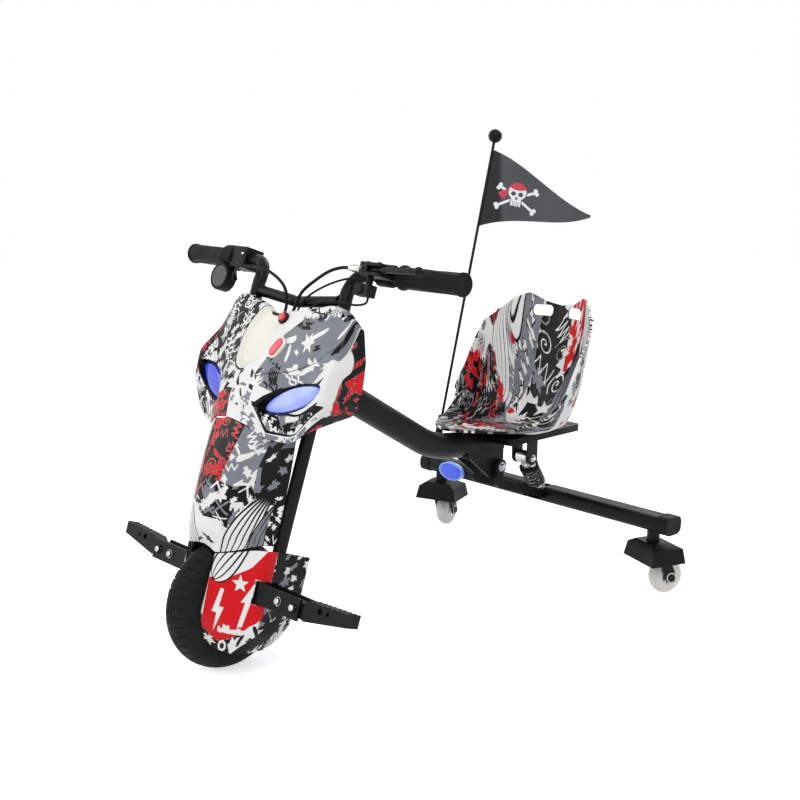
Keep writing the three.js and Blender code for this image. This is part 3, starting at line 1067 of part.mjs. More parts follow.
function casterParts(side) {
  const label = side > 0 ? 'left' : 'right';
  const stemTop = beam.z - beam.height / 2 - clearance;
  const yokeTop = caster.hoodTop - caster.hoodGauge - clearance;
  const yokeLow = yokeTop - caster.yokeGauge;
  const gap = caster.yokeHalf - caster.yokeGauge;
  const top = block([-caster.yokeHalf, caster.yokeHalf], [caster.yokeFront, caster.yokeBack], [yokeLow, yokeTop]);
  const cheekLine = [[caster.yokeFront, yokeTop],
    [caster.trail - caster.cheekFoot, caster.wheelRadius - caster.cheekFoot],
    [caster.trail + caster.cheekFoot, caster.wheelRadius - caster.cheekFoot],
    [caster.trail + caster.cheekFoot, caster.wheelRadius + caster.cheekFoot], [caster.yokeBack, yokeTop]];
  const cheeks = [plateX(cheekLine, gap, caster.yokeHalf), plateX(cheekLine, -caster.yokeHalf, -gap)];
  const stalk = rodZ(yokeLow, stemTop, 0, 0, caster.stemRadius, fineSides);
  const tenon = rodZ(yokeLow, stemTop + beam.wall, 0, 0, caster.tenonRadius);
  const reach = caster.yokeHalf + caster.axleHeadLength;
  const axle = rodX(-reach, reach, caster.trail, caster.wheelRadius, caster.axleRadius);
  const heads = [rodX(caster.yokeHalf - clearance, reach, caster.trail, caster.wheelRadius, caster.axleHead),
    rodX(-reach, -caster.yokeHalf + clearance, caster.trail, caster.wheelRadius, caster.axleHead)];
  const yoke = join(top, ...cheeks, stalk, tenon, axle, ...heads);
  const hoodHole = rodZ(caster.hoodLow, caster.hoodTop + overrun, 0, 0, caster.stemRadius + clearance, fineSides);
  const hood = cut(hoodFrustum(0), hoodFrustum(caster.hoodGauge), hoodHole);
  const half = caster.wheelWidth / 2;
  const bore = caster.axleRadius + clearance;
  const round = caster.tyreRound;
  const crown = Array.from({ length: caster.crownSteps + 1 }, (_, k) => {
    const angle = (k / caster.crownSteps - 0.5) * Math.PI;
    return [caster.wheelRadius - round + round * Math.cos(angle), half * Math.sin(angle)];
  });
  const tread = lathe(closed([[bore, -half], [caster.hubRadius, -half], ...crown, [caster.hubRadius, half],
    [bore, half]]), fineSides, true).translate(0, caster.trail, caster.wheelRadius);
  const group = new THREE.Group();
  group.position.set(side * caster.x, beam.y, 0);
  group.rotation.z = -side * caster.turn;
  group.add(piece(`caster_fork_${label}`, yoke, look.paint));
  group.add(piece(`caster_hood_${label}`, hood, look.rubber));
  group.add(piece(`caster_wheel_${label}`, tread, look.milk));
  return group;
}

// The whole tricycle
const scooter = new THREE.Group();
const raked = new THREE.Group();
raked.position.set(0, headY, wheel.radius);
raked.rotation.x = -rake;
raked.updateMatrix();
const rakedTool = (geometry) => geometry.clone().applyMatrix4(raked.matrix);

const legBody = forkLeg();
const pegBody = footPeg();
const leftBar = barHalf();
raked.add(...frontWheel(), ...steeringParts(), ...headParts());
raked.add(piece('fork_left', legBody, look.paint), piece('fork_right', mirrorX(legBody), look.paint));
raked.add(piece('foot_peg_left', pegBody, look.plastic), piece('foot_peg_right', mirrorX(pegBody), look.plastic));
raked.add(piece('handlebar_left', leftBar, look.paint), piece('handlebar_right', mirrorX(leftBar), look.paint));
raked.add(piece('cross_bar', crossBar(), look.paint));
raked.add(...leftControls(), ...switchParts(), ...rightControls(), ...bodyShells(), ...cables());
scooter.add(raked, ...frameParts(rakedTool), piece('seat_shell', seatShell(), look.print));
scooter.add(...flagParts(), ...rearParts(), ...shockParts(), casterParts(1), casterParts(-1));

const whole = new THREE.Group();
whole.add(scooter);
whole.updateMatrixWorld(true);
const bounds = new THREE.Box3().setFromObject(scooter, true);
scooter.position.set(-(bounds.min.x + bounds.max.x) / 2, -(bounds.min.y + bounds.max.y) / 2, -bounds.min.z);

export default whole;
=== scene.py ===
"""Studio scene of an electric drift tricycle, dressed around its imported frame.

Forms are drawn in millimetres, in one of the two frames of Datum, and their points are carried to metres.
"""
import json
import logging
import math
from collections.abc import Iterator
from contextlib import contextmanager
from dataclasses import dataclass, field, replace
from enum import Enum

import bmesh
import bpy
import numpy as np
from mathutils import Matrix, Vector


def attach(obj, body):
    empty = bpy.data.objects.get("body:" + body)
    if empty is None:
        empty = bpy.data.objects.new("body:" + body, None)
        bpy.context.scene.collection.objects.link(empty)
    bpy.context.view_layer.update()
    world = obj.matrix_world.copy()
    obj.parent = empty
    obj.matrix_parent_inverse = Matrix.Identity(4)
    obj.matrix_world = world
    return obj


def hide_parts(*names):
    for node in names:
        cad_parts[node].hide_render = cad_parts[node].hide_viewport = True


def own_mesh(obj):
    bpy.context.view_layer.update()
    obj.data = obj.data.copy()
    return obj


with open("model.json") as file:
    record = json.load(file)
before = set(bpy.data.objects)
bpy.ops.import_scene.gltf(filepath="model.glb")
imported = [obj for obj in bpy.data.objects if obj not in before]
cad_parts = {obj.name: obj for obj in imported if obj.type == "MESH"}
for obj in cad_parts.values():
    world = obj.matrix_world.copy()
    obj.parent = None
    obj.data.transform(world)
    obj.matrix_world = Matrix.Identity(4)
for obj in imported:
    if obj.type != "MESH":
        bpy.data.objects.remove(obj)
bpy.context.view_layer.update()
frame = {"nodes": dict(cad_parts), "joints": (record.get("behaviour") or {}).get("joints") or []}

LOG = logging.getLogger("tricycle")
MM = 0.001
TAU = 2 * math.pi
# Distances below which points and edges of a mesh are merged, in metres.
WELD = 1e-5
SHORTEST = 1e-6
# Angles, in radians, of edges that count as flat, that are rounded and that stay sharp on a shell.
FLAT_ANGLE = math.radians(1.0)
BEVEL_ANGLE = math.radians(35)
RIM_ANGLE = 0.87
Tree, Socket = bpy.types.NodeTree, bpy.types.NodeSocket
Material, Thing = bpy.types.Material, bpy.types.Object
Outline = tuple[tuple[float, float], ...]
Profile = list[tuple[float, float]]


def linear(code: str) -> tuple[float, float, float, float]:
    """Turn an sRGB hex colour to linear light.

    Args:
        code: Six hex digits.

    Returns:
        Red, green, blue and an alpha of one.
    """
    parts = [int(code[k:k + 2], 16) / 255 for k in (0, 2, 4)]
    light = [c / 12.92 if c <= 0.04045 else ((c + 0.055) / 1.055) ** 2.4 for c in parts]
    return (light[0], light[1], light[2], 1.0)


def add_node(tree: Tree, kind: str, inputs: dict | None = None, **settings) -> bpy.types.Node:
    """Add a node with its settings and links.

    Args:
        tree: Node tree that takes the node.
        kind: Blender's name of the node type.
        inputs: Input name or number to a value, or to an output socket to link from.
        **settings: Properties of the node.

    Returns:
        The new node.
    """
    node = tree.nodes.new(kind)
    for name, value in settings.items():
        setattr(node, name, value)
    for key, value in (inputs or {}).items():
        if isinstance(value, Socket):
            tree.links.new(value, node.inputs[key])
        else:
            node.inputs[key].default_value = value
    return node


@dataclass(frozen=True)
class Finish:
    """One real material: its colour, its sheen and the grain of its surface."""

    name: str
    colour: str
    shade: str
    roughness: float
    metallic: float = 0.0
    grain: float = 1.5
    relief: float = 0.02
    patch: float = 40.0
    specular: float = 0.5
    coat: float = 0.0

    def start(self) -> tuple[Material, Tree, bpy.types.Node, Socket]:
        """Open a material with its shader and coordinates in metres."""
        material = bpy.data.materials.new(self.name)
        material.use_nodes = True
        tree = material.node_tree
        shader = tree.nodes["Principled BSDF"]
        shader.inputs["Metallic"].default_value = self.metallic
        shader.inputs["Specular IOR Level"].default_value = self.specular
        if self.coat > 0:
            shader.inputs["Coat Weight"].default_value = self.coat
            shader.inputs["Coat Roughness"].default_value = 0.08
        coordinates = add_node(tree, "ShaderNodeTexCoord").outputs["Object"]
        return material, tree, shader, coordinates

    def tones(self, tree: Tree, place: Socket, size: float,
              first: str, second: str) -> Socket:
        """Mix two tones by slow patches of a size in millimetres."""
        slow = add_node(tree, "ShaderNodeTexNoise",
                        {"Vector": place, "Scale": 1 / (size * MM), "Detail": 4.0})
        return add_node(tree, "ShaderNodeMix", {0: slow.outputs[0], 6: linear(first), 7: linear(second)},
                        data_type="RGBA").outputs[2]

    def surface(self, tree: Tree, shader: bpy.types.Node, place: Socket) -> None:
        """Link the grain to the normal and the slow patches to the roughness."""
        grain = add_node(tree, "ShaderNodeTexNoise",
                         {"Vector": place, "Scale": 1 / (self.grain * MM), "Detail": 3.0})
        bump = add_node(tree, "ShaderNodeBump", {"Height": grain.outputs[0], "Strength": 0.6,
                                                 "Distance": self.relief * MM})
        tree.links.new(bump.outputs[0], shader.inputs["Normal"])
        slow = add_node(tree, "ShaderNodeTexNoise",
                        {"Vector": place, "Scale": 1 / (self.patch * MM), "Detail": 4.0})
        rough = add_node(tree, "ShaderNodeMapRange",
                         {"Value": slow.outputs[0], "From Min": 0.3, "From Max": 0.7,
                          "To Min": self.roughness * 0.82, "To Max": min(1.0, self.roughness * 1.2)})
        tree.links.new(rough.outputs[0], shader.inputs["Roughness"])

    def build(self) -> Material:
        """Make the material with its two tones mixed by slow patches."""
        material, tree, shader, place = self.start()
        colour = self.tones(tree, place, self.patch * 0.5, self.colour, self.shade)
        tree.links.new(colour, shader.inputs["Base Color"])
        self.surface(tree, shader, place)
        return material


@dataclass(frozen=True)
class InkedShell(Finish):
    """Glossy ABS with a screen print whose edges come from distances painted on the mesh."""

    black: str = "080809"
    grey: str = "85898f"
    red: str = "cc121a"
    edge: float = 0.5
    rough_edge: float = 0.3

    def build(self) -> Material:
        """Layer grey, red and black ink over the pale moulding."""
        material, tree, shader, place = self.start()
        ink = add_node(tree, "ShaderNodeAttribute", attribute_name="ink")
        parts = add_node(tree, "ShaderNodeSeparateXYZ", {0: ink.outputs["Vector"]})
        fray = add_node(tree, "ShaderNodeTexNoise", {"Vector": place, "Scale": 1 / (4.0 * MM), "Detail": 3.0})
        shift = add_node(tree, "ShaderNodeMapRange", {"Value": fray.outputs[0], "To Min": -self.rough_edge,
                                                      "To Max": self.rough_edge})
        colour = self.tones(tree, place, 30, self.colour, self.shade)
        greys = self.tones(tree, place, 30, self.grey, "6c7076")
        for channel, tint in ((1, greys), (2, linear(self.red)), (0, linear(self.black))):
            raised = add_node(tree, "ShaderNodeMath", {0: parts.outputs[channel], 1: shift.outputs[0]},
                              operation="ADD")
            mask = add_node(tree, "ShaderNodeMath", {0: raised.outputs[0], 1: 1 / self.edge, 2: 0.5},
                            operation="MULTIPLY_ADD", use_clamp=True)
            colour = add_node(tree, "ShaderNodeMix", {0: mask.outputs[0], 6: colour, 7: tint},
                              data_type="RGBA").outputs[2]
        tree.links.new(colour, shader.inputs["Base Color"])
        self.surface(tree, shader, place)
        return material


@dataclass(frozen=True)
class LitLens(Finish):
    """Blue polycarbonate lens that glows: the front lenses are lit from behind by a row of small white lamps,
    while the rear reflector's glow is painted light with no lamp behind it.
    """

    glow: float = 0.4

    def build(self) -> Material:
        """Mix a deep and a pale blue by slow patches and let them glow."""
        material, tree, shader, place = self.start()
        colour = self.tones(tree, place, 22, self.colour, self.shade)
        tree.links.new(colour, shader.inputs["Base Color"])
        tree.links.new(colour, shader.inputs["Emission Color"])
        shader.inputs["Emission Strength"].default_value = self.glow
        self.surface(tree, shader, place)
        return material


@dataclass(frozen=True)
class PrintedCloth(Finish):
    """Plain-woven polyester with two inks and a painted shade beside the hoist, its threads three times
    coarser than real so that they show.
    """

    thread: float = 0.9
    # Painted shade: near-black laid over the cloth beside the hoist, standing in for the shadow of a fold.
    hoist_shade: str = "0a0a0b"
    white: str = "e6e6e8"
    red: str = "c8404a"

    def build(self) -> Material:
        """Cross two fine waves for the weave and lay the inks and the painted shade by distance."""
        material, tree, shader, place = self.start()
        waves = [add_node(tree, "ShaderNodeTexWave", {"Vector": place, "Scale": 0.0314 / (self.thread * MM)},
                          bands_direction=axis) for axis in ("Z", "X")]
        height = add_node(tree, "ShaderNodeMath", {0: waves[0].outputs["Fac"], 1: waves[1].outputs["Fac"]},
                          operation="ADD")
        bump = add_node(tree, "ShaderNodeBump", {"Height": height.outputs[0], "Strength": 0.5,
                                                 "Distance": self.relief * MM})
        tree.links.new(bump.outputs[0], shader.inputs["Normal"])
        colour = self.tones(tree, place, self.patch, self.colour, self.shade)
        ink = add_node(tree, "ShaderNodeAttribute", attribute_name="ink")
        parts = add_node(tree, "ShaderNodeSeparateXYZ", {0: ink.outputs["Vector"]})
        for channel, tint, soft in ((2, self.hoist_shade, 9.0), (0, self.white, 0.6), (1, self.red, 0.6)):
            mask = add_node(tree, "ShaderNodeMath", {0: parts.outputs[channel], 1: 1 / soft, 2: 0.5},
                            operation="MULTIPLY_ADD", use_clamp=True)
            colour = add_node(tree, "ShaderNodeMix", {0: mask.outputs[0], 6: colour, 7: linear(tint)},
                              data_type="RGBA").outputs[2]
        tree.links.new(colour, shader.inputs["Base Color"])
        shader.inputs["Roughness"].default_value = self.roughness
        shader.inputs["Sheen Weight"].default_value = 0.2
        return material


class Finishes:
    """Every finish on the tricycle, made once and shared."""

    def __init__(self) -> None:
        """Name each real material and match it to the object."""
        # Powder coat bakes to a satin film with a faint orange peel.
        self.powder = Finish("satin_powder_coat", "080809", "0e0e0f", 0.4, grain=2.2, relief=0.05,
                             specular=0.14).build()
        # ABS mouldings come off a fine spark-eroded tool, so they look matt.
        self.abs_black = Finish("spark_grained_abs", "080809", "0e0e0f", 0.48, grain=0.9, relief=0.05,
                                specular=0.14).build()
        # Rubber grips and bumpers are matt with a slightly grey bloom.
        self.rubber = Finish("moulded_rubber", "080808", "101010", 0.6, grain=0.8, relief=0.06,
                             specular=0.14).build()
        # Tyre rubber is a little dusty, so it looks duller than the grips.
        self.tyre = Finish("tyre_rubber", "0c0c0d", "171717", 0.66, grain=1.2, relief=0.1, patch=18,
                           specular=0.16).build()
        # Zinc plating is bright with a soft satin haze.
        self.zinc = Finish("zinc_plated_steel", "c9cbcd", "a9acb0", 0.3, 1.0, grain=0.7, relief=0.02).build()
        # Cast aluminium shows a fine sand texture under its machining.
        self.alloy = Finish("cast_aluminium", "cfcdc8", "b3b1ab", 0.34, 1.0, grain=0.8, relief=0.05).build()
        # Spring enamel is thick and glossy.
        self.enamel = Finish("spring_enamel", "0a0a0b", "121213", 0.25, grain=2.5, relief=0.03,
                             coat=0.2).build()
        # Printed ABS carries its ink under a clear lacquer, so the whole shell shines alike.
        self.print = InkedShell("screen_printed_abs", "e9e8e4", "dad9d4", 0.3, grain=3.0, relief=0.02,
                                specular=0.16).build()
        # The back of a moulding is left as it leaves the tool, dull and a little uneven.
        self.shell_back = Finish("moulded_abs_back", "0c0c0d", "141415", 0.55, grain=1.2, relief=0.05,
                                 specular=0.15).build()
        # The near lens gets a pale, milky blue as a painted highlight; both lenses are the same plastic, lit
        # from behind.
        self.lens_painted_pale = LitLens("polycarbonate_painted_pale", "9aa6f0", "6f80ea", 0.14, coat=0.4, grain=3.0).build()
        # The far lens gets a deep blue as a painted shade, because it is seen edge on.
        self.lens_painted_deep = LitLens("polycarbonate_painted_deep", "2b3fc4", "1b2fae", 0.14, coat=0.4, grain=3.0,
                                glow=0.35).build()
        # The rear lens is a moulded reflector, saturated and slightly veined; its glow is painted light, as
        # no lamp is set behind it.
        self.rear_lens_painted_glow = LitLens("blue_reflector_painted_glow", "2a55e0", "1c3cc0", 0.2, coat=0.3, grain=1.2, relief=0.2,
                                 glow=0.35).build()
        # Its rim is the same plastic without the mirror grid, so it looks paler; its faint glow is painted
        # light too.
        self.rear_rim_painted_glow = LitLens("pale_rim_painted_glow", "8fb0f4", "6f98ee", 0.25, grain=2.0, glow=0.2).build()
        # White diodes burn out to white behind the lens.
        self.spark = LitLens("white_diode", "f4f8ff", "e8f0ff", 0.2, glow=2.2).build()
        # Push buttons are glossy moulded caps.
        self.button = Finish("red_pushbutton_abs", "d3202b", "b81822", 0.28, grain=1.5, coat=0.3).build()
        # The power switch has a soft translucent cap, paler than the buttons.
        self.pink = Finish("rubbery_switch_cap", "e8606c", "d84c5c", 0.4, grain=1.5, coat=0.1).build()
        # Polyurethane tread is milky and soft-looking.
        self.milk = Finish("cast_polyurethane", "e8e5dc", "d9d5ca", 0.38, grain=1.4, relief=0.03,
                           coat=0.1).build()
        # Bunting is dull, with a little sheen along its folds.
        self.flag = PrintedCloth("polyester_bunting", "4e4e50", "3e3e41", 0.8, relief=0.05, patch=60).build()
        # The dial's window is smoked and glossy.
        self.grey_face = Finish("smoked_dial_cover", "17181b", "101114", 0.2, grain=2.0, specular=0.3).build()
        # Bare mouldings keep the cream of their pellets.
        self.dish = Finish("cream_moulded_abs", "e2e0d4", "d6d3c4", 0.32, grain=2.0, relief=0.03,
                           coat=0.2).build()


@dataclass
class Form:
    """Points and faces of a solid in its own millimetres."""

    points: np.ndarray
    faces: list[tuple[int, ...]]

    def joined(self, *others: "Form") -> "Form":
        """Put several forms into one."""
        points = [self.points]
        faces = list(self.faces)
        count = len(self.points)
        for other in others:
            points.append(other.points)
            faces += [tuple(k + count for k in face) for face in other.faces]
            count += len(other.points)
        return Form(np.vstack(points), faces)

    def moved(self, x: float = 0.0, y: float = 0.0, z: float = 0.0) -> "Form":
        """Shift the form."""
        return Form(self.points + np.array([x, y, z]), self.faces)

    def turned(self, axis: str, degrees: float) -> "Form":
        """Turn the form about an axis through its own origin."""
        turn = np.array(Matrix.Rotation(math.radians(degrees), 3, axis))
        return Form(self.points @ turn.T, self.faces)

    def mirrored(self) -> "Form":
        """Mirror the form across the middle plane."""
        return Form(self.points * np.array([-1, 1, 1]), [tuple(reversed(face)) for face in self.faces])


def skin(rings: list[np.ndarray], closed: bool = False, caps: bool = True) -> Form:
    """Join rings of points into a solid.

    Args:
        rings: Rings of equally many points, in order.
        closed: Whether the last ring joins the first.
        caps: Whether the first and the last ring are filled.

    Returns:
        The solid.
    """
    count, sides = len(rings), len(rings[0])
    faces: list[tuple[int, ...]] = []
    for row in range(count if closed else count - 1):
        low, high = row * sides, (row + 1) % count * sides
        faces += [(low + k, low + (k + 1) % sides, high + (k + 1) % sides, high + k) for k in range(sides)]
    if caps and not closed:
        faces += [tuple(reversed(range(sides))), tuple((count - 1) * sides + k for k in range(sides))]
    return Form(np.vstack(rings), faces)


def lathe(profile: Profile, sides: int = 64, along: str = "Z") -> Form:
    """Turn a closed profile about an axis.

    Args:
        profile: Points of (radius, height), closed on themselves or on the axis.
        sides: Steps of the turn.
        along: Axis of the turn, Z or X.

    Returns:
        The turned solid.
    """
    rings = []
    angles = full_turn(sides)
    for radius, height in profile:
        rings.append(np.stack([radius * np.cos(angles), radius * np.sin(angles), np.full(sides, height)], 1))
    form = skin(rings, caps=False)
    return form.turned("Y", 90) if along == "X" else form


def spline(places: list[tuple[float, float, float]], steps: int = 12) -> np.ndarray:
    """Run a smooth centripetal curve through given points."""
    p = np.array(places, float)
    p = np.vstack([2 * p[0] - p[1], p, 2 * p[-1] - p[-2]])
    knots = np.concatenate([[0], np.cumsum(np.linalg.norm(np.diff(p, axis=0), axis=1) ** 0.5)])
    out = []
    for k in range(1, len(p) - 2):
        t = np.linspace(knots[k], knots[k + 1], steps, endpoint=False)[:, None]
        t0, t1, t2, t3 = knots[k - 1:k + 3]
        a1 = (t1 - t) / (t1 - t0) * p[k - 1] + (t - t0) / (t1 - t0) * p[k]
        a2 = (t2 - t) / (t2 - t1) * p[k] + (t - t1) / (t2 - t1) * p[k + 1]
        a3 = (t3 - t) / (t3 - t2) * p[k + 1] + (t - t2) / (t3 - t2) * p[k + 2]
        b1 = (t2 - t) / (t2 - t0) * a1 + (t - t0) / (t2 - t0) * a2
        b2 = (t3 - t) / (t3 - t1) * a2 + (t - t1) / (t3 - t1) * a3
        out.append((t2 - t) / (t2 - t1) * b1 + (t - t1) / (t2 - t1) * b2)
    return np.vstack([*out, p[-2:-1]])


def tube(line: np.ndarray, radius: float | np.ndarray, sides: int = 24) -> Form:
    """Sweep a round section along a line of points, with flat ends."""
    count = len(line)
    radii = np.broadcast_to(np.asarray(radius, float), (count,))
    tangents = np.gradient(line, axis=0)
    tangents /= np.linalg.norm(tangents, axis=1)[:, None]
    side = np.cross(tangents[0], [0.31, 0.17, 0.93])
    side /= np.linalg.norm(side)
    angles = full_turn(sides)
    rings = []
    for k in range(count):
        side = side - tangents[k] * np.dot(side, tangents[k])
        side /= np.linalg.norm(side)
        other = np.cross(tangents[k], side)
        round_k = np.cos(angles)[:, None] * side + np.sin(angles)[:, None] * other
        rings.append(line[k] + radii[k] * round_k)
    return skin(rings)


def prism(outline: Profile, depth: float, along: str = "Y") -> Form:
    """Extrude an outline both ways from its own plane.

    Args:
        outline: Points in the plane across the extrusion.
        depth: Whole length of the extrusion.
        along: Axis of the extrusion. Across Y the outline is (x, z), across X (y, z) and across Z (x, y).

    Returns:
        The prism.
    """
    order = {"Y": (0, 2, 1), "X": (1, 2, 0), "Z": (0, 1, 2)}[along]
    count = len(outline)
    points = np.zeros((count * 2, 3))
    for k, (a, b) in enumerate(outline):
        for layer, offset in enumerate((-depth / 2, depth / 2)):
            points[layer * count + k, order[0]] = a
            points[layer * count + k, order[1]] = b
            points[layer * count + k, order[2]] = offset
    faces: list[tuple[int, ...]] = [tuple(range(count)), tuple(reversed(range(count, count * 2)))]
    faces += [(k, (k + 1) % count, (k + 1) % count + count, k + count) for k in range(count)]
    return Form(points, faces)


def screw_head(radius: float, height: float, hexagon: bool = True) -> Form:
    """Make a bolt head with a chamfered top and its washer, standing on Z."""
    washer = lathe([(0, 0), (radius * 1.35, 0), (radius * 1.35, height * 0.22), (0, height * 0.22)], 32)
    sides = 6 if hexagon else 32
    low = height * 0.22
    body = lathe([(0, low), (radius, low), (radius, low + height * 0.6), (radius * 0.86, low + height * 0.8),
                  (radius * 0.3, low + height * 0.84), (0, low + height * 0.84)], sides)
    return washer.joined(body)


def together(forms: list[Form]) -> Form:
    """Put a list of forms into one."""
    return forms[0].joined(*forms[1:])


def both_ways(half: Profile) -> Profile:
    """Add a profile's mirror image in front of it, its heights being those of one half."""
    return [(r, -x) for r, x in half] + [(r, x) for r, x in reversed(half)]


def posed(place: tuple[float, float, float], *turns: tuple[float, str]) -> Matrix:
    """Move to a place, then turn by degrees about one axis after the other."""
    matrix = Matrix.Translation(Vector(place))
    for degrees, axis in turns:
        matrix = matrix @ Matrix.Rotation(math.radians(degrees), 4, axis)
    return matrix


def full_turn(sides: int) -> np.ndarray:
    """Divide a full turn into equal steps."""
    return np.arange(sides) / sides * TAU


def carried(points: np.ndarray, matrix: Matrix) -> np.ndarray:
    """Carry points through a matrix."""
    return (np.c_[points, np.ones(len(points))] @ np.array(matrix).T)[:, :3]


def new_mesh(name: str, points: np.ndarray, faces: list[tuple[int, ...]]) -> bpy.types.Mesh:
    """Make a mesh of points in metres."""
    mesh = bpy.data.meshes.new(name)
    mesh.from_pydata(points.tolist(), [], faces)
    return mesh


def new_object(name: str, mesh: bpy.types.Mesh) -> Thing:
    """Add an object with a mesh to the scene."""
    thing = bpy.data.objects.new(name, mesh)
    bpy.context.collection.objects.link(thing)
    return thing


@contextmanager
def edited(mesh: bpy.types.Mesh) -> Iterator[bmesh.types.BMesh]:
    """Open a mesh for edits and write them back."""
    work = bmesh.new()
    work.from_mesh(mesh)
    yield work
    work.to_mesh(mesh)
    work.free()


def smooth(work: bmesh.types.BMesh, limit: float) -> None:
    """Point all faces outwards and smooth every edge below an angle in radians."""
    bmesh.ops.recalc_face_normals(work, faces=work.faces)
    for face in work.faces:
        face.smooth = True
    for edge in work.edges:
        edge.smooth = edge.calc_face_angle(0.0) < limit


class Datum:
    """The two drawing frames of the tricycle: upright on the floor, and raked with the steering."""

    def __init__(self) -> None:
        """Read the frames from the steering and wheel joints."""
        joints = {joint["name"]: joint for joint in frame["joints"]}
        steer = joints["steer"]
        wheel = joints["front_wheel_spin"]
        rise = Vector(steer["axis"]).normalized()
        across = Vector((1, 0, 0))
        scale = Matrix.Scale(MM, 4)
        turn = Matrix((across, rise.cross(across), rise)).transposed().to_4x4()
        self.raked = Matrix.Translation(Vector(steer["pos_m"])) @ turn @ scale
        self.floor = Matrix.Translation(Vector((0, wheel["pos_m"][1], 0))) @ scale


class Bench:
    """Makes Blender pieces, hangs them on their bodies and keeps count."""

    def __init__(self) -> None:
        """Start with the frames and no pieces."""
        self.datum = Datum()
        self.finish = Finishes()
        self.count = 0

    def piece(self, name: str, form: Form, matrix: Matrix, material: Material, body: str, slot: str,
              nodes: tuple[str, ...] = (), bevel: float = 0.0, segments: int = 2,
              sharp: float = 40.0) -> Thing:
        """Turn a form into a finished piece.

        Args:
            name: Name of the piece.
            form: Its points and faces in millimetres.
            matrix: Frame that the form is drawn in.
            material: Its finish.
            body: Body that it moves with.
            slot: Slot of the record that it belongs to; not used.
            nodes: Nodes of the frame that it stands for.
            bevel: Width of its rounded edges in millimetres.
            segments: Steps of each rounded edge.
            sharp: Angle in degrees above which an edge stays sharp.

        Returns:
            The new object.
        """
        mesh = new_mesh(name, carried(form.points, matrix), form.faces)
        return self.dress(name, mesh, material, body, nodes, bevel, segments, sharp)

    def dress(self, name: str, mesh: bpy.types.Mesh, material: Material, body: str,
              nodes: tuple[str, ...], bevel: float, segments: int, sharp: float) -> Thing:
        """Weld, orient, smooth and hang a mesh."""
        with edited(mesh) as work:
            bmesh.ops.remove_doubles(work, verts=work.verts, dist=WELD)
            bmesh.ops.dissolve_degenerate(work, edges=work.edges, dist=SHORTEST)
            smooth(work, math.radians(sharp))
        mesh.materials.clear()
        mesh.materials.append(material)
        thing = new_object(name, mesh)
        if bevel > 0:
            round_edges = thing.modifiers.new("rounded_edges", "BEVEL")
            round_edges.width = bevel * MM
            round_edges.segments = segments
            round_edges.limit_method = "ANGLE"
            round_edges.angle_limit = BEVEL_ANGLE
            round_edges.harden_normals = True
        return self.hang(thing, body, nodes)

    def hang(self, thing: Thing, body: str, nodes: tuple[str, ...]) -> Thing:
        """Hang a piece on its body, hide the nodes that it stands for and count it."""
        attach(thing, body)
        if nodes:
            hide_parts(*nodes)
        self.count += 1
        LOG.info("%s on %s", thing.name, body)
        return thing

    def copy(self, node: str, material: Material, body: str, slot: str, bevel: float) -> None:
        """Stand a rounded copy in for a node of the frame."""
        mesh = frame["nodes"][node].data.copy()
        for layer in list(mesh.uv_layers):
            mesh.uv_layers.remove(layer)
        with edited(mesh) as work:
            bmesh.ops.remove_doubles(work, verts=work.verts, dist=2 * WELD)
            bmesh.ops.dissolve_limit(work, angle_limit=FLAT_ANGLE, verts=work.verts, edges=work.edges)
        self.dress(f"{node}_piece", mesh, material, body, (node,), bevel, 2, 35.0)


class Ink(Enum):
    """Colours of the screen print."""

    WHITE = "white"
    GREY = "grey"
    RED = "red"
    BLACK = "black"


WHITE, GREY, RED, BLACK = Ink
# Inks from the lowest to the uppermost, over the white moulding.
LAYERS = (GREY, RED, BLACK)
# Millimetres that a distance is kept to, that a rim stands out, and a pen that leaves a plume whole.
INK_REACH = 6.0
RIM_WIDTH = 1.5
NO_GROOVES = -50.0


class Kind(Enum):
    """Shapes of the print's motifs."""

    PATCH = "patch"
    STAR = "star"
    BOLT = "bolt"
    ARROW = "arrow"
    CROWN = "crown"
    SHARD = "shard"
    RING = "ring"
    PLUME = "plume"
    DOTS = "dots"
    CHECKER = "checker"
    SPLASH = "splash"
    BRUSH = "brush"
    ZIGZAG = "zigzag"
    SPIRAL = "spiral"
    WAVE = "wave"
    CROSS = "cross"
    SCRIBBLE = "scribble"
    RIBS = "ribs"
    TICKS = "ticks"


FILLED = (Kind.STAR, Kind.BOLT, Kind.ARROW, Kind.CROWN, Kind.SHARD)
PENNED = (Kind.ZIGZAG, Kind.CROSS, Kind.SPIRAL, Kind.SCRIBBLE, Kind.RIBS, Kind.WAVE, Kind.TICKS)


def regular_star(points: int, inner: float) -> Profile:
    """Draw a star with a number of points in the unit circle."""
    corners = []
    for k, reach in enumerate((1.0, inner) * points):
        corners.append((reach * math.sin(k / points * math.pi), reach * math.cos(k / points * math.pi)))
    return corners


def unit_outline(kind: Kind, count: int, seed: int) -> Profile:
    """Draw a filled motif between minus one and one, a ragged shard where none is named."""
    if kind is Kind.STAR:
        return regular_star(count, 0.42)
    if kind is Kind.BOLT:
        return [(0.15, 1), (-0.6, -0.12), (-0.08, -0.1), (-0.3, -1), (0.62, 0.22), (0.12, 0.2), (0.5, 1)]
    if kind is Kind.ARROW:
        return [(-1, 0.22), (0.15, 0.3), (0.05, 0.8), (1, 0.05), (0.1, -0.75), (0.17, -0.28), (-0.95, -0.3)]
    if kind is Kind.CROWN:
        return [(-0.85, -0.7), (-1, 0.6), (-0.45, 0), (0, 0.95), (0.45, 0), (1, 0.6), (0.85, -0.7)]
    draw = np.random.default_rng(seed)
    corners = 6 + count
    turns = (np.arange(corners) + draw.uniform(-0.3, 0.3, corners)) / corners * TAU
    reach = np.where(np.arange(corners) % 2 == 0, 1.0, 0.5) * draw.uniform(0.7, 1.0, corners)
    return [(r * math.cos(a), r * math.sin(a)) for a, r in zip(turns, reach)]


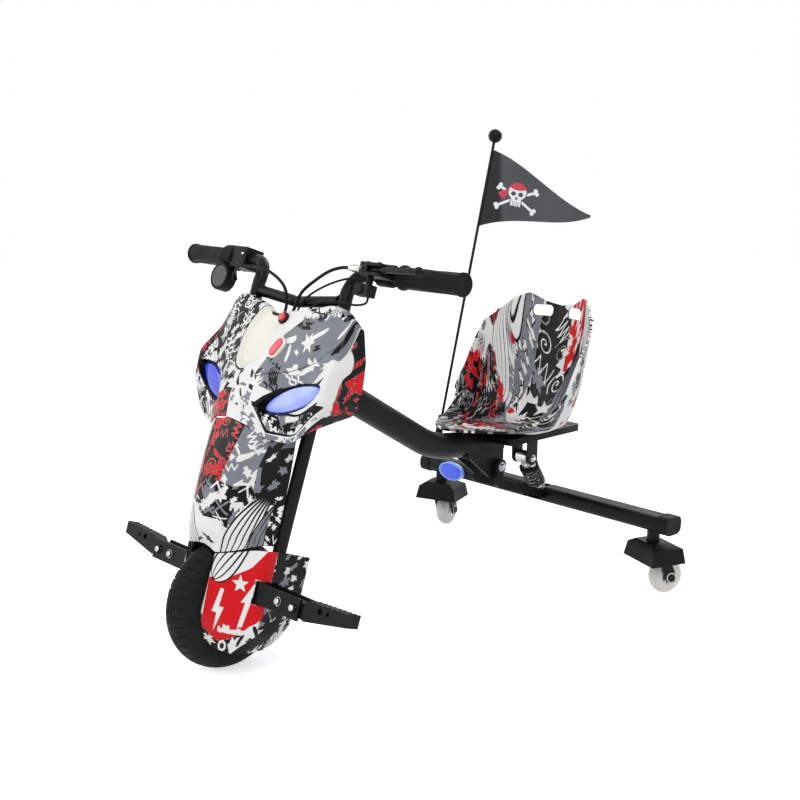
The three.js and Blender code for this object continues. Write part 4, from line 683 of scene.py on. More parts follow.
def unit_lines(kind: Kind, count: int, seed: int) -> list[np.ndarray]:
    """Draw a motif of hand-drawn lines between minus one and one, ticks where none is named."""
    draw = np.random.default_rng(seed)
    t = np.linspace(0, 1, 6 * count + 1)
    if kind is Kind.ZIGZAG:
        steps = np.arange(count + 1)
        height = np.where(steps % 2 == 0, -0.8, 0.8) + draw.uniform(-0.2, 0.2, count + 1)
        return [np.stack([steps / count * 2 - 1, height], 1)]
    if kind is Kind.SPIRAL:
        turn = t * TAU * 1.9 + seed
        return [np.stack([t * np.cos(turn), t * np.sin(turn)], 1)]
    if kind is Kind.WAVE:
        lines = []
        for row in np.linspace(-0.8, 0.8, 3):
            lines.append(np.stack([t * 2 - 1, row + 0.2 * np.sin(t * TAU * count / 3 + row * 2)], 1))
        return lines
    if kind is Kind.CROSS:
        return [np.array([(-1, -0.9), (0.9, 1)]), np.array([(-0.9, 0.95), (1, -0.85)])]
    if kind is Kind.SCRIBBLE:
        steps = np.arange(count * 3)
        side = np.where(steps % 2 == 0, -1.0, 1.0) * draw.uniform(0.6, 1.0, count * 3)
        along = np.linspace(-1, 1, count * 3) + draw.uniform(-0.12, 0.12, count * 3)
        return [np.stack([along, side], 1)]
    if kind is Kind.RIBS:
        lines = [np.stack([np.linspace(-1, 1, 9), 0.25 * np.linspace(-1, 1, 9) ** 2 - 0.12], 1)]
        for x in np.linspace(-0.92, 0.92, count + 3):
            reach = draw.uniform(0.55, 0.95)
            rise = 0.25 * x * x - 0.12
            lines.append(np.array([(x - 0.05, rise - reach), (x, rise), (x + 0.05, rise + reach)]))
        return lines
    lines = []
    for x in np.linspace(-1, 1, count * 2 + 3):
        foot = draw.uniform(-1, -0.7)
        lines.append(np.array([(x, foot), (x + 0.04, foot + draw.uniform(0.7, 1.7))]))
    return lines


def line_distance(x: np.ndarray, y: np.ndarray, lines: list[np.ndarray]) -> np.ndarray:
    """Measure each point's way to the nearest of some lines."""
    best = np.full(x.shape, 1e3)
    for line in lines:
        for (ax, ay), (bx, by) in zip(line[:-1], line[1:]):
            dx, dy = bx - ax, by - ay
            share = np.clip(((x - ax) * dx + (y - ay) * dy) / max(dx * dx + dy * dy, 1e-9), 0, 1)
            best = np.minimum(best, np.hypot(x - ax - share * dx, y - ay - share * dy))
    return best


def outline_depth(x: np.ndarray, y: np.ndarray, corners: np.ndarray) -> np.ndarray:
    """Measure how deep each point lies inside an outline, negative outside."""
    ring = np.vstack([corners, corners[:1]])
    inside = np.zeros(x.shape, bool)
    for (ax, ay), (bx, by) in zip(ring[:-1], ring[1:]):
        spans = (ay > y) != (by > y)
        inside ^= spans & (x < ax + (y - ay) * (bx - ax) / (by - ay if by != ay else 1e-9))
    away = line_distance(x, y, [ring])
    return np.where(inside, away, -away)


@dataclass(frozen=True)
class Motif:
    """One generic shape of the print, in millimetres on the unrolled shell."""

    kind: Kind
    ink: Ink
    u: float
    v: float
    wide: float = 20.0
    high: float = 20.0
    turn: float = 0.0
    count: int = 5
    seed: int = 0
    pen: float = 1.6
    rim: Ink | None = None
    corners: Outline = ()

    def reached(self, u: np.ndarray, v: np.ndarray, grow: float = 0.0) -> np.ndarray:
        """Work out the depth in the motif, grown by a margin and held within the reach of the ink."""
        return np.clip(self.depth(u, v) + grow, -INK_REACH, INK_REACH)

    def depth(self, u: np.ndarray, v: np.ndarray) -> np.ndarray:
        """Work out how deep each point lies inside the motif, negative outside."""
        if self.kind is Kind.PATCH:
            return outline_depth(u, v, np.array(self.corners))
        turn = math.radians(self.turn)
        x0, y0 = u - self.u, v - self.v
        x = x0 * math.cos(turn) + y0 * math.sin(turn)
        y = -x0 * math.sin(turn) + y0 * math.cos(turn)
        w, h = self.wide / 2, self.high / 2
        size = np.array([w, h])
        if self.kind in FILLED:
            return outline_depth(x, y, np.array(unit_outline(self.kind, self.count, self.seed)) * size)
        if self.kind in PENNED:
            lines = [line * size for line in unit_lines(self.kind, self.count, self.seed)]
            return self.pen - line_distance(x, y, lines)
        return self.field(x, y, w, h)

    def field(self, x: np.ndarray, y: np.ndarray, w: float, h: float) -> np.ndarray:
        """Work out the motifs that are drawn as fields, a splash where none is named."""
        box = np.minimum(w - np.abs(x), h - np.abs(y))
        oval = (1 - np.sqrt((x / w) ** 2 + (y / h) ** 2)) * min(w, h)
        if self.kind is Kind.RING:
            return self.pen - np.abs(oval - self.pen)
        if self.kind is Kind.BRUSH:
            taper = np.clip(1 - np.abs(x / w) ** 4, 0, 1) ** 0.5
            sway = np.sin(x * 2.6 / w + self.seed) * h * 0.25
            bristles = np.sin(y * 1.9 + self.seed * 3) * 0.5 + 0.5
            dry = np.clip(np.abs(x / w) - 0.35, 0, 1) * h * 0.6 * bristles
            return np.minimum(w - np.abs(x), h * (0.25 + 0.7 * taper) - np.abs(y + sway)) - dry
        if self.kind is Kind.PLUME:
            along = np.clip((x + w) / (2 * w), 0, 1)
            half = h * np.sin(np.pi * along ** 0.75) ** 0.8 + 0.6
            y = y - h * 0.5 * np.sin(along * 2.6 - 0.6)
            step = 2 / self.count
            share = y / half
            line = (np.abs(((share + 1 + step / 2) % step) - step / 2)) * half
            groove = self.pen * (0.35 + 0.65 * along) - line
            leaf = np.minimum(w - np.abs(x), half - np.abs(y))
            return np.minimum(leaf, -groove)
        if self.kind is Kind.DOTS:
            step = self.wide / self.count
            fade = np.clip((y + h) / (2 * h), 0.05, 1)
            away = np.hypot((x % step) - step / 2, (y % step) - step / 2)
            return np.minimum(box, step * 0.5 * fade - away)
        if self.kind is Kind.CHECKER:
            step = self.wide / self.count
            across, up = (step / 2 - np.abs((way % step) - step / 2) for way in (x, y))
            cell = np.minimum(across, up)
            odd = (np.floor(x / step) + np.floor(y / step)) % 2
            return np.minimum(box, np.where(odd > 0.5, cell, -cell))
        angle = np.arctan2(y / h, x / w)
        reach = 0.58 + 0.16 * np.sin(angle * 5 + self.seed) + 0.14 * np.sin(angle * 11 + self.seed * 1.7)
        return (reach - np.sqrt((x / w) ** 2 + (y / h) ** 2)) * min(w, h)


class Painter:
    """Lays motifs over one another and keeps a distance for each ink."""

    def __init__(self, u: np.ndarray, v: np.ndarray) -> None:
        """Start with bare moulding."""
        self.u = u
        self.v = v
        self.fields = {ink: np.full(u.shape, -INK_REACH) for ink in LAYERS}

    def cover(self, ink: Ink, depth: np.ndarray) -> None:
        """Lay one ink over the others; an upper ink leaves the lower ones under it."""
        level = LAYERS.index(ink) if ink in LAYERS else -1
        for rank, other in enumerate(LAYERS):
            if rank == level:
                self.fields[other] = np.maximum(self.fields[other], depth)
            elif rank > level:
                self.fields[other] = np.minimum(self.fields[other], -depth)

    def lay(self, *motifs: Motif, clip: np.ndarray | float = INK_REACH) -> None:
        """Print motifs in order, each over what is there."""
        for motif in motifs:
            reach = math.hypot(motif.wide, motif.high) / 2 + 5
            near = (np.abs(self.u - motif.u) < reach) & (np.abs(self.v - motif.v) < reach)
            layers = [(motif.ink, motif, 0.0)]
            if motif.rim is not None:
                whole = replace(motif, pen=NO_GROOVES) if motif.kind is Kind.PLUME else motif
                layers.insert(0, (motif.rim, whole, RIM_WIDTH))
            for ink, shape, grow in layers:
                depth = np.full(self.u.shape, -INK_REACH)
                depth[near] = shape.reached(self.u[near], self.v[near], grow)
                self.cover(ink, np.minimum(depth, clip))

    def zone(self, ink: Ink, corners: Outline) -> None:
        """Fill an outline with one ink."""
        self.cover(ink, Motif(Kind.PATCH, ink, 0, 0, corners=corners).reached(self.u, self.v) + 0.5)

    def crowd(self, seed: int, corners: Outline, inks: str, kinds: str, size: float = 22.0,
              rim: Ink | None = None, back: Ink | None = None) -> None:
        """Fill an outline with a seeded crowd of motifs, on a ground of its own where one is named.

        Args:
            seed: Seed of the draws.
            corners: Outline in millimetres on the unrolled shell.
            inks: Names of the inks to draw from.
            kinds: Names of the shapes to draw from.
            size: Spacing of the motifs.
            rim: Ink of the line round each filled motif.
            back: Ink of the ground.
        """
        draw = np.random.default_rng(seed)
        ink_list = [Ink(word) for word in inks.split()]
        kind_list = [Kind(word) for word in kinds.split()]
        clip = Motif(Kind.PATCH, WHITE, 0, 0, corners=corners).reached(self.u, self.v)
        if back is not None:
            self.cover(back, clip + 0.5)
        table = np.array(corners)
        low, high = table.min(0), table.max(0)
        for v in np.arange(low[1] + size * 0.3, high[1], size * 0.8):
            for u in np.arange(low[0] + size * 0.3, high[0], size):
                wide = size * draw.uniform(0.75, 1.35)
                kind = kind_list[draw.integers(len(kind_list))]
                tall = wide * draw.uniform(0.45, 0.95) * (0.45 if kind is Kind.BRUSH else 1.0)
                ink = ink_list[draw.integers(len(ink_list))]
                motif = Motif(kind, ink, u + draw.uniform(-0.3, 0.3) * size,
                              v + draw.uniform(-0.3, 0.3) * size, wide, tall, draw.uniform(0, 180),
                              int(draw.integers(4, 7)), int(draw.integers(100)), draw.uniform(0.7, 1.5), rim)
                self.lay(motif, clip=clip)


PEN_WORDS = "zigzag cross spiral scribble ribs wave ticks"
BOLD_WORDS = "star bolt arrow crown shard splash brush"


def print_cowl(painter: Painter) -> None:
    """Print the cowl: a black side with pale pen marks, a grey shoulder, a white cheek and red flanks."""
    painter.crowd(3, ((-230, -5), (-150, -5), (-165, 110), (-150, 220), (-230, 220)), "black red grey",
                  "shard brush scribble", 26)
    painter.crowd(4, ((-168, 95), (-178, 60), (-140, -5), (-12, -5), (-22, 60), (-30, 120), (-62, 220),
                      (-150, 220)), "white", PEN_WORDS, 21, back=BLACK)
    painter.crowd(5, ((-186, 40), (-150, 34), (-142, 96), (-118, 150), (-150, 176), (-186, 130)), "red",
                  "shard brush bolt", 17, back=BLACK)
    painter.crowd(6, ((-80, -5), (-8, -5), (-14, 44), (-62, 34)), "red", "scribble brush cross", 20,
                  back=BLACK)
    painter.crowd(7, ((20, 70), (60, 94), (100, 100), (152, 92), (160, 150), (118, 186), (64, 178),
                      (40, 142)), "white white black", "star brush shard bolt zigzag", 27, back=GREY)
    painter.crowd(8, ((-14, 88), (26, 70), (34, 18), (-10, 22)), "black grey", "splash shard brush",
                  19)
    painter.crowd(9, ((60, 176), (118, 184), (150, 160), (172, 122), (190, 170), (150, 220), (60, 215)),
                  "black grey", "ticks ticks checker cross", 17)
    painter.crowd(10, ((30, 96), (66, 92), (100, 100), (130, 96), (104, 80), (60, 62), (34, 58)),
                  "white grey black", "plume wave brush", 24, back=GREY)
    painter.lay(Motif(Kind.STAR, WHITE, 150, 96, 44, 36, 12, 5),
                Motif(Kind.DOTS, BLACK, 176, 132, 40, 30, 80, 9))
    painter.zone(BLACK, ((38, 30), (52, 50), (74, 74), (112, 84), (152, 84), (120, 60), (70, 24)))
    painter.zone(BLACK, ((36, 34), (70, 8), (118, 12), (168, 38), (150, 48), (70, 40)))
    painter.zone(WHITE, ((56, 48), (74, 66), (92, 74), (96, 64), (74, 50)))
    painter.crowd(15, ((44, 30), (72, 12), (118, 14), (152, 34), (120, 42), (60, 36)), "white grey",
                  "ticks zigzag shard", 15)
    painter.zone(WHITE, ((150, 44), (166, 66), (188, 78), (192, 40), (176, 26)))
    painter.crowd(11, ((14, 34), (40, 22), (72, 6), (118, 8), (150, 22), (176, 14), (120, -12), (30, -12)),
                  "white", "ticks zigzag brush", 17, back=GREY)
    painter.crowd(12, ((120, -6), (230, -6), (230, 26), (178, 26), (150, 10)), "white red",
                  "shard brush star", 20, back=BLACK)
    painter.crowd(13, ((176, 22), (230, 14), (226, 76), (186, 120), (166, 160), (158, 120), (184, 76)), "red",
                  "brush scribble bolt", 18, back=BLACK)
    painter.crowd(14, ((186, 120), (226, 76), (220, 170), (168, 170)), "white grey red", "scribble shard",
                  16, back=BLACK)


def print_column(painter: Painter) -> None:
    """Print the column: black with red strokes, a grey middle and pale plumes over the wheel."""
    painter.crowd(21, ((-130, -5), (-44, -5), (-40, 195), (-130, 195)), "white grey", PEN_WORDS, 20,
                  back=BLACK)
    painter.crowd(22, ((-48, 66), (26, 60), (44, 196), (-52, 196)), "red",
                  "scribble zigzag brush spiral", 23, back=BLACK)
    painter.crowd(23, ((-44, 104), (-34, 196), (-58, 196), (-60, 70)), "white", "ribs zigzag", 19,
                  back=BLACK)
    painter.crowd(24, ((24, 96), (60, 92), (76, 120), (84, 196), (38, 196)), "white",
                  "brush zigzag shard arrow", 24, back=GREY)
    painter.crowd(25, ((76, 60), (130, 60), (130, 196), (86, 196), (74, 120)), "white grey",
                  "splash crown shard", 27, back=BLACK)
    painter.crowd(26, ((-12, 100), (70, 96), (90, 60), (40, 34), (-20, 52)), "white white grey",
                  "splash shard ticks cross", 17, back=BLACK)
    painter.zone(WHITE, ((-60, -5), (72, -5), (60, 28), (34, 46), (6, 44), (-16, 60), (-60, 80)))
    painter.lay(Motif(Kind.SHARD, BLACK, 18, 14, 30, 13, 160, 5, 4),
                Motif(Kind.BRUSH, BLACK, -8, 6, 22, 5, 20, seed=3),
                Motif(Kind.PLUME, WHITE, -30, 46, 112, 32, 100, 5, pen=1.5, rim=BLACK),
                Motif(Kind.PLUME, WHITE, 78, 26, 124, 44, 54, 5, pen=1.8, rim=BLACK),
                Motif(Kind.PLUME, GREY, 100, 20, 110, 20, 60, 3, pen=1.4, rim=BLACK))
    painter.crowd(27, ((100, -5), (130, -5), (130, 66), (112, 66)), "white", "shard zigzag", 15, back=BLACK)


def print_skirt(painter: Painter, red_panel: bool) -> None:
    """Print a wheel skirt: a red panel with pale blocks on one side, black and white curls on the other."""
    painter.crowd(31, ((-70, -5), (88, -5), (88, 60), (-70, 40)), "black", "wave brush shard", 20)
    painter.crowd(32, ((20, 40), (88, 40), (88, 158), (20, 158)), "white grey",
                  "shard zigzag splash", 19, back=BLACK)
    if not red_panel:
        painter.crowd(33, ((-70, 20), (30, 10), (30, 158), (-70, 158)), "black black grey",
                      "spiral shard wave brush", 24)
        painter.lay(Motif(Kind.PLUME, WHITE, -30, 122, 84, 40, 120, 5, pen=1.8, rim=BLACK),
                    Motif(Kind.DOTS, BLACK, 60, 120, 40, 50, 0, 8))
        return
    painter.zone(BLACK, ((-70, -5), (-12, -5), (-24, 26), (-70, 26)))
    painter.lay(Motif(Kind.SPLASH, WHITE, -48, 8, 30, 20, 10, seed=2),
                Motif(Kind.RING, WHITE, -26, 8, 12, 18, pen=1.4))
    for k in range(6):
        painter.lay(Motif(Kind.BRUSH, BLACK, 6 + 9 * k, 14 + 4.5 * k, 66, 6.5, 48 + 2 * k, seed=k))
    painter.zone(RED, ((-64, 20), (-32, 14), (-12, 28), (6, 46), (22, 56), (26, 148), (10, 152), (-8, 128),
                       (-34, 108), (-66, 92)))
    painter.lay(Motif(Kind.BOLT, WHITE, -44, 56, 30, 62, 8, pen=1.6),
                Motif(Kind.ARROW, WHITE, -4, 74, 64, 26, 82),
                Motif(Kind.STAR, WHITE, -20, 102, 26, 26, 10, 5),
                Motif(Kind.TICKS, WHITE, -20, 36, 34, 12, 6, 4),
                Motif(Kind.PLUME, WHITE, -36, 132, 92, 34, 52, 4, pen=1.8, rim=BLACK))


def print_seat(painter: Painter) -> None:
    """Print the bucket: black middle, pale flanks with plumes, red patches."""
    painter.crowd(41, ((-236, -5), (236, -5), (236, 466), (-236, 466)), "black grey black red",
                  "shard brush splash bolt scribble", 34)
    painter.crowd(42, ((-200, -5), (-60, -5), (-20, 60), (-40, 176), (-120, 190), (-168, 120)),
                  "white grey red", "ribs splash spiral cross zigzag", 26, back=BLACK)
    painter.crowd(43, ((-30, 176), (60, 176), (70, 250), (60, 350), (20, 466), (-34, 466), (-46, 340)),
                  "white grey", "splash crown zigzag spiral", 46, back=BLACK)
    painter.crowd(44, ((26, 330), (96, 330), (96, 466), (34, 466)), "white white black", BOLD_WORDS, 28,
                  back=RED)
    painter.crowd(45, ((-236, 60), (-170, 96), (-140, 60), (-160, 0), (-236, 0)), "red",
                  "scribble brush", 24, back=BLACK)
    painter.crowd(46, ((-64, 176), (-44, 290), (-40, 466), (-70, 466), (-92, 300)), "white",
                  "arrow star bolt crown", 25, rim=BLACK, back=GREY)
    painter.crowd(47, ((-60, 120), (70, 120), (76, 176), (-64, 186)), "white grey black",
                  "ticks brush shard wave", 19, back=GREY)
    painter.crowd(48, ((-50, 64), (90, 64), (86, 118), (-54, 120)), "red red white",
                  "scribble brush cross", 26, back=BLACK)
    painter.crowd(49, ((-236, -5), (236, -5), (236, 30), (-236, 30)), "white white grey", "wave brush",
                  24, back=BLACK)
    painter.lay(Motif(Kind.PLUME, WHITE, -118, 232, 150, 62, 106, 4, pen=2.4, rim=BLACK),
                Motif(Kind.PLUME, WHITE, -92, 330, 120, 46, 70, 4, pen=2.0, rim=BLACK),
                Motif(Kind.PLUME, GREY, 52, 268, 138, 58, 66, 6, pen=2.0, rim=BLACK),
                Motif(Kind.PLUME, WHITE, 150, 150, 140, 60, 120, 5, pen=2.2, rim=BLACK),
                Motif(Kind.SHARD, RED, -96, 168, 44, 40, 20, 4, 9, rim=BLACK),
                Motif(Kind.STAR, WHITE, 4, 262, 40, 40, 14, 5, rim=GREY))


def relaxed(grid: np.ndarray, steps: int, fine: int) -> np.ndarray:
    """Round a control grid a little and sample it finely.

    Args:
        grid: Control points, rows by columns by three.
        steps: Straight steps between control points, which limit how far corners are rounded.
        fine: Samples for each of those steps.

    Returns:
        The fine grid.
    """
    def straight(data: np.ndarray) -> np.ndarray:
        places = np.linspace(0, len(data) - 1, (len(data) - 1) * steps + 1)
        low = np.minimum(places.astype(int), len(data) - 2)
        share = (places - low)[:, None, None]
        return data[low] * (1 - share) + data[low + 1] * share

    def rounded(data: np.ndarray) -> np.ndarray:
        padded = np.concatenate([2 * data[:1] - data[1:2], data, 2 * data[-1:] - data[-2:-1]])
        places = np.linspace(0, len(data) - 1, (len(data) - 1) * fine + 1)
        low = np.minimum(places.astype(int), len(data) - 2)
        t = (places - low)[:, None, None]
        weights = ((1 - t) ** 3, 3 * t ** 3 - 6 * t ** 2 + 4, -3 * t ** 3 + 3 * t ** 2 + 3 * t + 1, t ** 3)
        return sum(w * padded[low + k] for k, w in enumerate(weights)) / 6

    for work in (straight, rounded):
        grid = work(grid)
        grid = work(grid.transpose(1, 0, 2)).transpose(1, 0, 2)
    return grid


def grid_normals(grid: np.ndarray) -> np.ndarray:
    """Give each point of a grid its unit normal."""
    normal = np.cross(np.gradient(grid, axis=1), np.gradient(grid, axis=0))
    normal = normal / np.maximum(np.linalg.norm(normal, axis=2), 1e-9)[..., None]
    for _ in range(4):
        wide = np.pad(normal, ((1, 1), (1, 1), (0, 0)), mode="edge")
        normal = wide[:-2, 1:-1] + wide[2:, 1:-1] + wide[1:-1, :-2] + wide[1:-1, 2:] + wide[1:-1, 1:-1]
        normal = normal / np.maximum(np.linalg.norm(normal, axis=2), 1e-9)[..., None]
    return normal


# Rounds that smooth a back that shows, and steps of the front for each step of a back that doesn't.
BACK_ROUNDS = 30
BACK_STEP = 3
# Straight steps between control points of a shell, and samples for each.
STRAIGHT_STEPS = 3
FINE_STEPS = 12


@dataclass
class Shell:
    """A moulded shell: a fine grid of outer points, its wall and its print."""

    name: str
    grid: np.ndarray
    wall: float
    body: str
    node: str
    both_faces: bool = False
    inward: float = field(init=False)

    def __post_init__(self) -> None:
        """Point the wall to the side where the middle of the shell lies."""
        normal = grid_normals(self.grid)
        middle = self.grid.reshape(-1, 3).mean(0)
        facing = np.einsum("ijk,ijk->ij", normal, middle - self.grid)
        self.inward = 1.0 if facing.sum() > 0 else -1.0

    def sink(self, depth: np.ndarray) -> None:
        """Press the surface inwards by a depth at each point."""
        self.grid = self.grid + grid_normals(self.grid) * (self.inward * depth)[..., None]

    def faces(self, step: int) -> tuple[list[tuple[int, ...]], int]:
        """List the outer faces, the inner faces every few points and the rim, and count the outer ones."""
        rows, columns = self.grid.shape[:2]
        outer = np.arange(rows * columns).reshape(rows, columns)
        inner = outer[::step, ::step]
        inner = np.arange(inner.size).reshape(inner.shape) + rows * columns
        sheets = []
        for index, flip in ((outer, True), (inner, False)):
            quad = [index[:-1, :-1], index[:-1, 1:], index[1:, 1:], index[1:, :-1]]
            sheets.append(np.stack(quad[::-1] if flip else quad, -1).reshape(-1, 4))
        faces = [tuple(face) for face in np.vstack(sheets).tolist()]
        for edge in (lambda a: a[0, :], lambda a: a[-1, ::-1], lambda a: a[::-1, 0], lambda a: a[:, -1]):
            long, short = edge(outer).tolist(), edge(inner).tolist()
            for k in range(len(short) - 1):
                faces.append((*long[k * step:(k + 1) * step + 1], short[k + 1], short[k]))
        return faces, len(sheets[0])

    def build(self, bench: Bench, matrix: Matrix, painter: Painter, hole: Form | None = None,
              bare: np.ndarray | None = None) -> None:
        """Make the mesh of both faces and the rim, with the ink distances on its points.

        Args:
            bench: Bench that finishes and counts the piece.
            matrix: Frame that the grid is drawn in.
            painter: Print of the shell.
            hole: Form that is cut out of the shell.
            bare: Points where the moulding is left unprinted.
        """
        step = 1 if self.both_faces else BACK_STEP
        inner = (self.grid + grid_normals(self.grid) * self.inward * self.wall)[::step, ::step]
        if self.both_faces:
            for _ in range(BACK_ROUNDS):
                inner[1:-1, 1:-1] = (inner[:-2, 1:-1] + inner[2:, 1:-1] + inner[1:-1, :-2]
                                     + inner[1:-1, 2:]) / 4
        points = np.vstack([self.grid.reshape(-1, 3), inner.reshape(-1, 3)])
        faces, outer_count = self.faces(step)
        mesh = new_mesh(self.name, carried(points, matrix), faces)
        ink = np.stack([painter.fields[k] for k in (BLACK, GREY, RED)], -1)
        ink = np.vstack([ink.reshape(-1, 3), ink[::step, ::step].reshape(-1, 3)])
        layer = mesh.attributes.new("ink", "FLOAT_VECTOR", "POINT")
        layer.data.foreach_set("vector", ink.astype(np.float32).reshape(-1))
        slots = np.zeros(len(faces), np.int32)
        if not self.both_faces:
            slots[outer_count:] = 1
        if bare is not None:
            slots[:outer_count] = np.where(bare[:-1, :-1].reshape(-1), 2, 0)
        mesh.polygons.foreach_set("material_index", slots)
        with edited(mesh) as work:
            smooth(work, RIM_ANGLE)
        for material in (bench.finish.print, bench.finish.shell_back, bench.finish.dish):
            mesh.materials.append(material)
        thing = new_object(self.name, mesh)
        if hole is not None:
            cut_out(thing, hole, matrix)
        bench.hang(thing, self.body, (self.node,))


def cut_out(thing: Thing, form: Form, matrix: Matrix) -> None:
    """Cut a form out of a shell."""
    mesh = new_mesh("cutter", carried(form.points, matrix), form.faces)
    with edited(mesh) as work:
        bmesh.ops.recalc_face_normals(work, faces=work.faces)
    tool = new_object("cutter", mesh)
    hole = thing.modifiers.new("cut_out", "BOOLEAN")
    hole.operation = "DIFFERENCE"
    hole.solver = "EXACT"
    hole.object = tool
    with bpy.context.temp_override(object=thing, active_object=thing, selected_objects=[thing]):
        bpy.ops.object.modifier_apply(modifier=hole.name)
    bpy.data.objects.remove(tool)


def mirrored_rows(table: np.ndarray) -> np.ndarray:
    """Turn half rows from the middle outwards into full rows."""
    return np.concatenate([table[:, :0:-1] * np.array([-1, 1, 1]), table], axis=1)


def unroll(grid: np.ndarray) -> tuple[np.ndarray, np.ndarray]:
    """Measure each point's way from the middle column and from the bottom row, in millimetres."""
    rows, columns = grid.shape[:2]
    wide, high = (np.cumsum(np.linalg.norm(np.diff(grid, axis=axis), axis=2), axis) for axis in (1, 0))
    across = np.concatenate([np.zeros((rows, 1)), wide], 1)
    return across - across[:, columns // 2][:, None], np.concatenate([np.zeros((1, columns)), high], 0)


@dataclass
class FrontWheel:
    """Hub-motor wheel with a grooved tyre."""

    bench: Bench
    radius: float = 96.97
    half_width: float = 24.0
    rim_radius: float = 57.0
    axle_y: float = -10.4
    axle_z: float = -3.5
    groove_depth: float = 1.8
    groove_half: float = 1.1
    groove_ends: tuple[float, float] = (3.4, 22.6)
    ring_at: float = 3.2
    ring_half: float = 1.1
    shoulder: float = 83.2
    crown_foot: float = 90.0
    crown_rise: float = 16.5
    lugs: int = 40

    def build(self) -> None:
        """Make the tyre, hub motor and axle."""
        self.tyre()
        self.motor()
        self.axle()

    def tyre(self) -> None:
        """Turn the tyre's section and press slanted, curved grooves into the tread."""
        steps = 960
        crown = np.radians(np.linspace(-82.5, 82.5, 45))
        radii = self.radius - self.crown_rise * (1 - np.cos(crown))
        across = self.half_width * np.sin(crown)
        bead = [(self.rim_radius + 0.2, -19.2), (self.rim_radius + 2, -20.2), (self.rim_radius + 7, -21.6),
                (self.rim_radius + 14, -22.9), (self.rim_radius + 20, -23.6)]
        side = np.array(bead)
        radii = np.concatenate([side[:, 0], radii, side[::-1, 0]])
        across = np.concatenate([side[:, 1], across, -side[::-1, 1]])
        angles = full_turn(steps)
        arc = angles[:, None] * self.radius
        reach = np.abs(across)[None, :]
        pitch = TAU * self.radius / self.lugs
        slant = np.sign(across)[None, :] * pitch * 0.25 + 0.75 * reach - 0.022 * reach ** 2
        off = np.abs(((arc + slant) % pitch) - pitch / 2)
        inner, outer = self.groove_ends
        groove = np.clip((self.groove_half - off) / 0.7 + 0.5, 0, 1) * (reach > inner) * (reach < outer)
        ring = np.clip((self.ring_half - np.abs(reach - self.ring_at)) / 0.6 + 0.5, 0, 1)
        depth = np.maximum(groove, ring * (radii[None, :] > self.crown_foot)) * self.groove_depth
        depth = depth * (radii[None, :] > self.shoulder)
        radius = radii[None, :] - depth
        x = np.broadcast_to(across, radius.shape)
        points = np.stack([x, radius * np.cos(angles)[:, None], radius * np.sin(angles)[:, None]], -1)
        count = len(radii)
        index = np.arange(steps * count).reshape(steps, count)
        following = np.roll(index, -1, axis=0)
        faces = np.stack([index, following, np.roll(following, -1, 1), np.roll(index, -1, 1)],
                         -1).reshape(-1, 4)
        form = Form(points.reshape(-1, 3), [tuple(face) for face in faces.tolist()])
        self.place("front_tyre_tread", form, self.bench.finish.tyre, "tyre", ("front_tyre",), sharp=50)

    def place(self, name: str, form: Form, material: Material, slot: str, nodes: tuple[str, ...] = (),
              body: str = "front_wheel", bevel: float = 0.0, sharp: float = 40.0) -> None:
        """Set a form on the axle and add it."""
        self.bench.piece(name, form.moved(0, self.axle_y, self.axle_z), self.bench.datum.raked, material,
                         body, slot, nodes, bevel=bevel, sharp=sharp)

    def motor(self) -> None:
        """Turn the motor housing with its ribs and ring of cover screws."""
        finish = self.bench.finish
        half = [(0, 22), (9, 22), (9, 20.6), (12, 20.6), (14, 21.8), (36, 21.8), (37.5, 20.4), (40, 20.4),
                (41, 21.6), (44, 21.4), (49.5, 16.4), (50.5, 15.6), (54, 15.6), (55, 17.4), (56.6, 17.6),
                (56.8, 12)]
        profile = both_ways(half)
        self.place("hub_motor_body", lathe(profile, 128, "X"), finish.alloy, "cast_alloy", ("hub_motor",),
                   sharp=30)
        screws = []
        for side in (-1, 1):
            for k in range(8):
                angle = (k + 0.5) * TAU / 8
                head = screw_head(1.9, 1.2, False).turned("Y", 90 * side)
                screws.append(head.moved(side * 21.3, 30 * math.cos(angle), 30 * math.sin(angle)))
        self.place("hub_cover_screws", together(screws), finish.zinc, "bare_steel", sharp=30)

    def axle(self) -> None:
        """Turn the axle and its two flanged nuts."""
        finish = self.bench.finish
        half = [(0, 92), (5.2, 92), (6, 91.2), (6, 71.6), (9.8, 71.6), (9.8, 22.4), (6, 22.4)]
        profile = both_ways(half)
        self.place("front_axle_shaft", lathe(profile, 48, "X"), finish.zinc, "bare_steel", ("front_axle",),
                   "steering", sharp=30)
        nuts = [screw_head(8.1, 7.4).turned("Y", 90 * side).moved(side * 84.3) for side in (-1, 1)]
        self.place("front_axle_nuts", together(nuts), finish.zinc, "bare_steel", (), "steering",
                   0.4, 30)


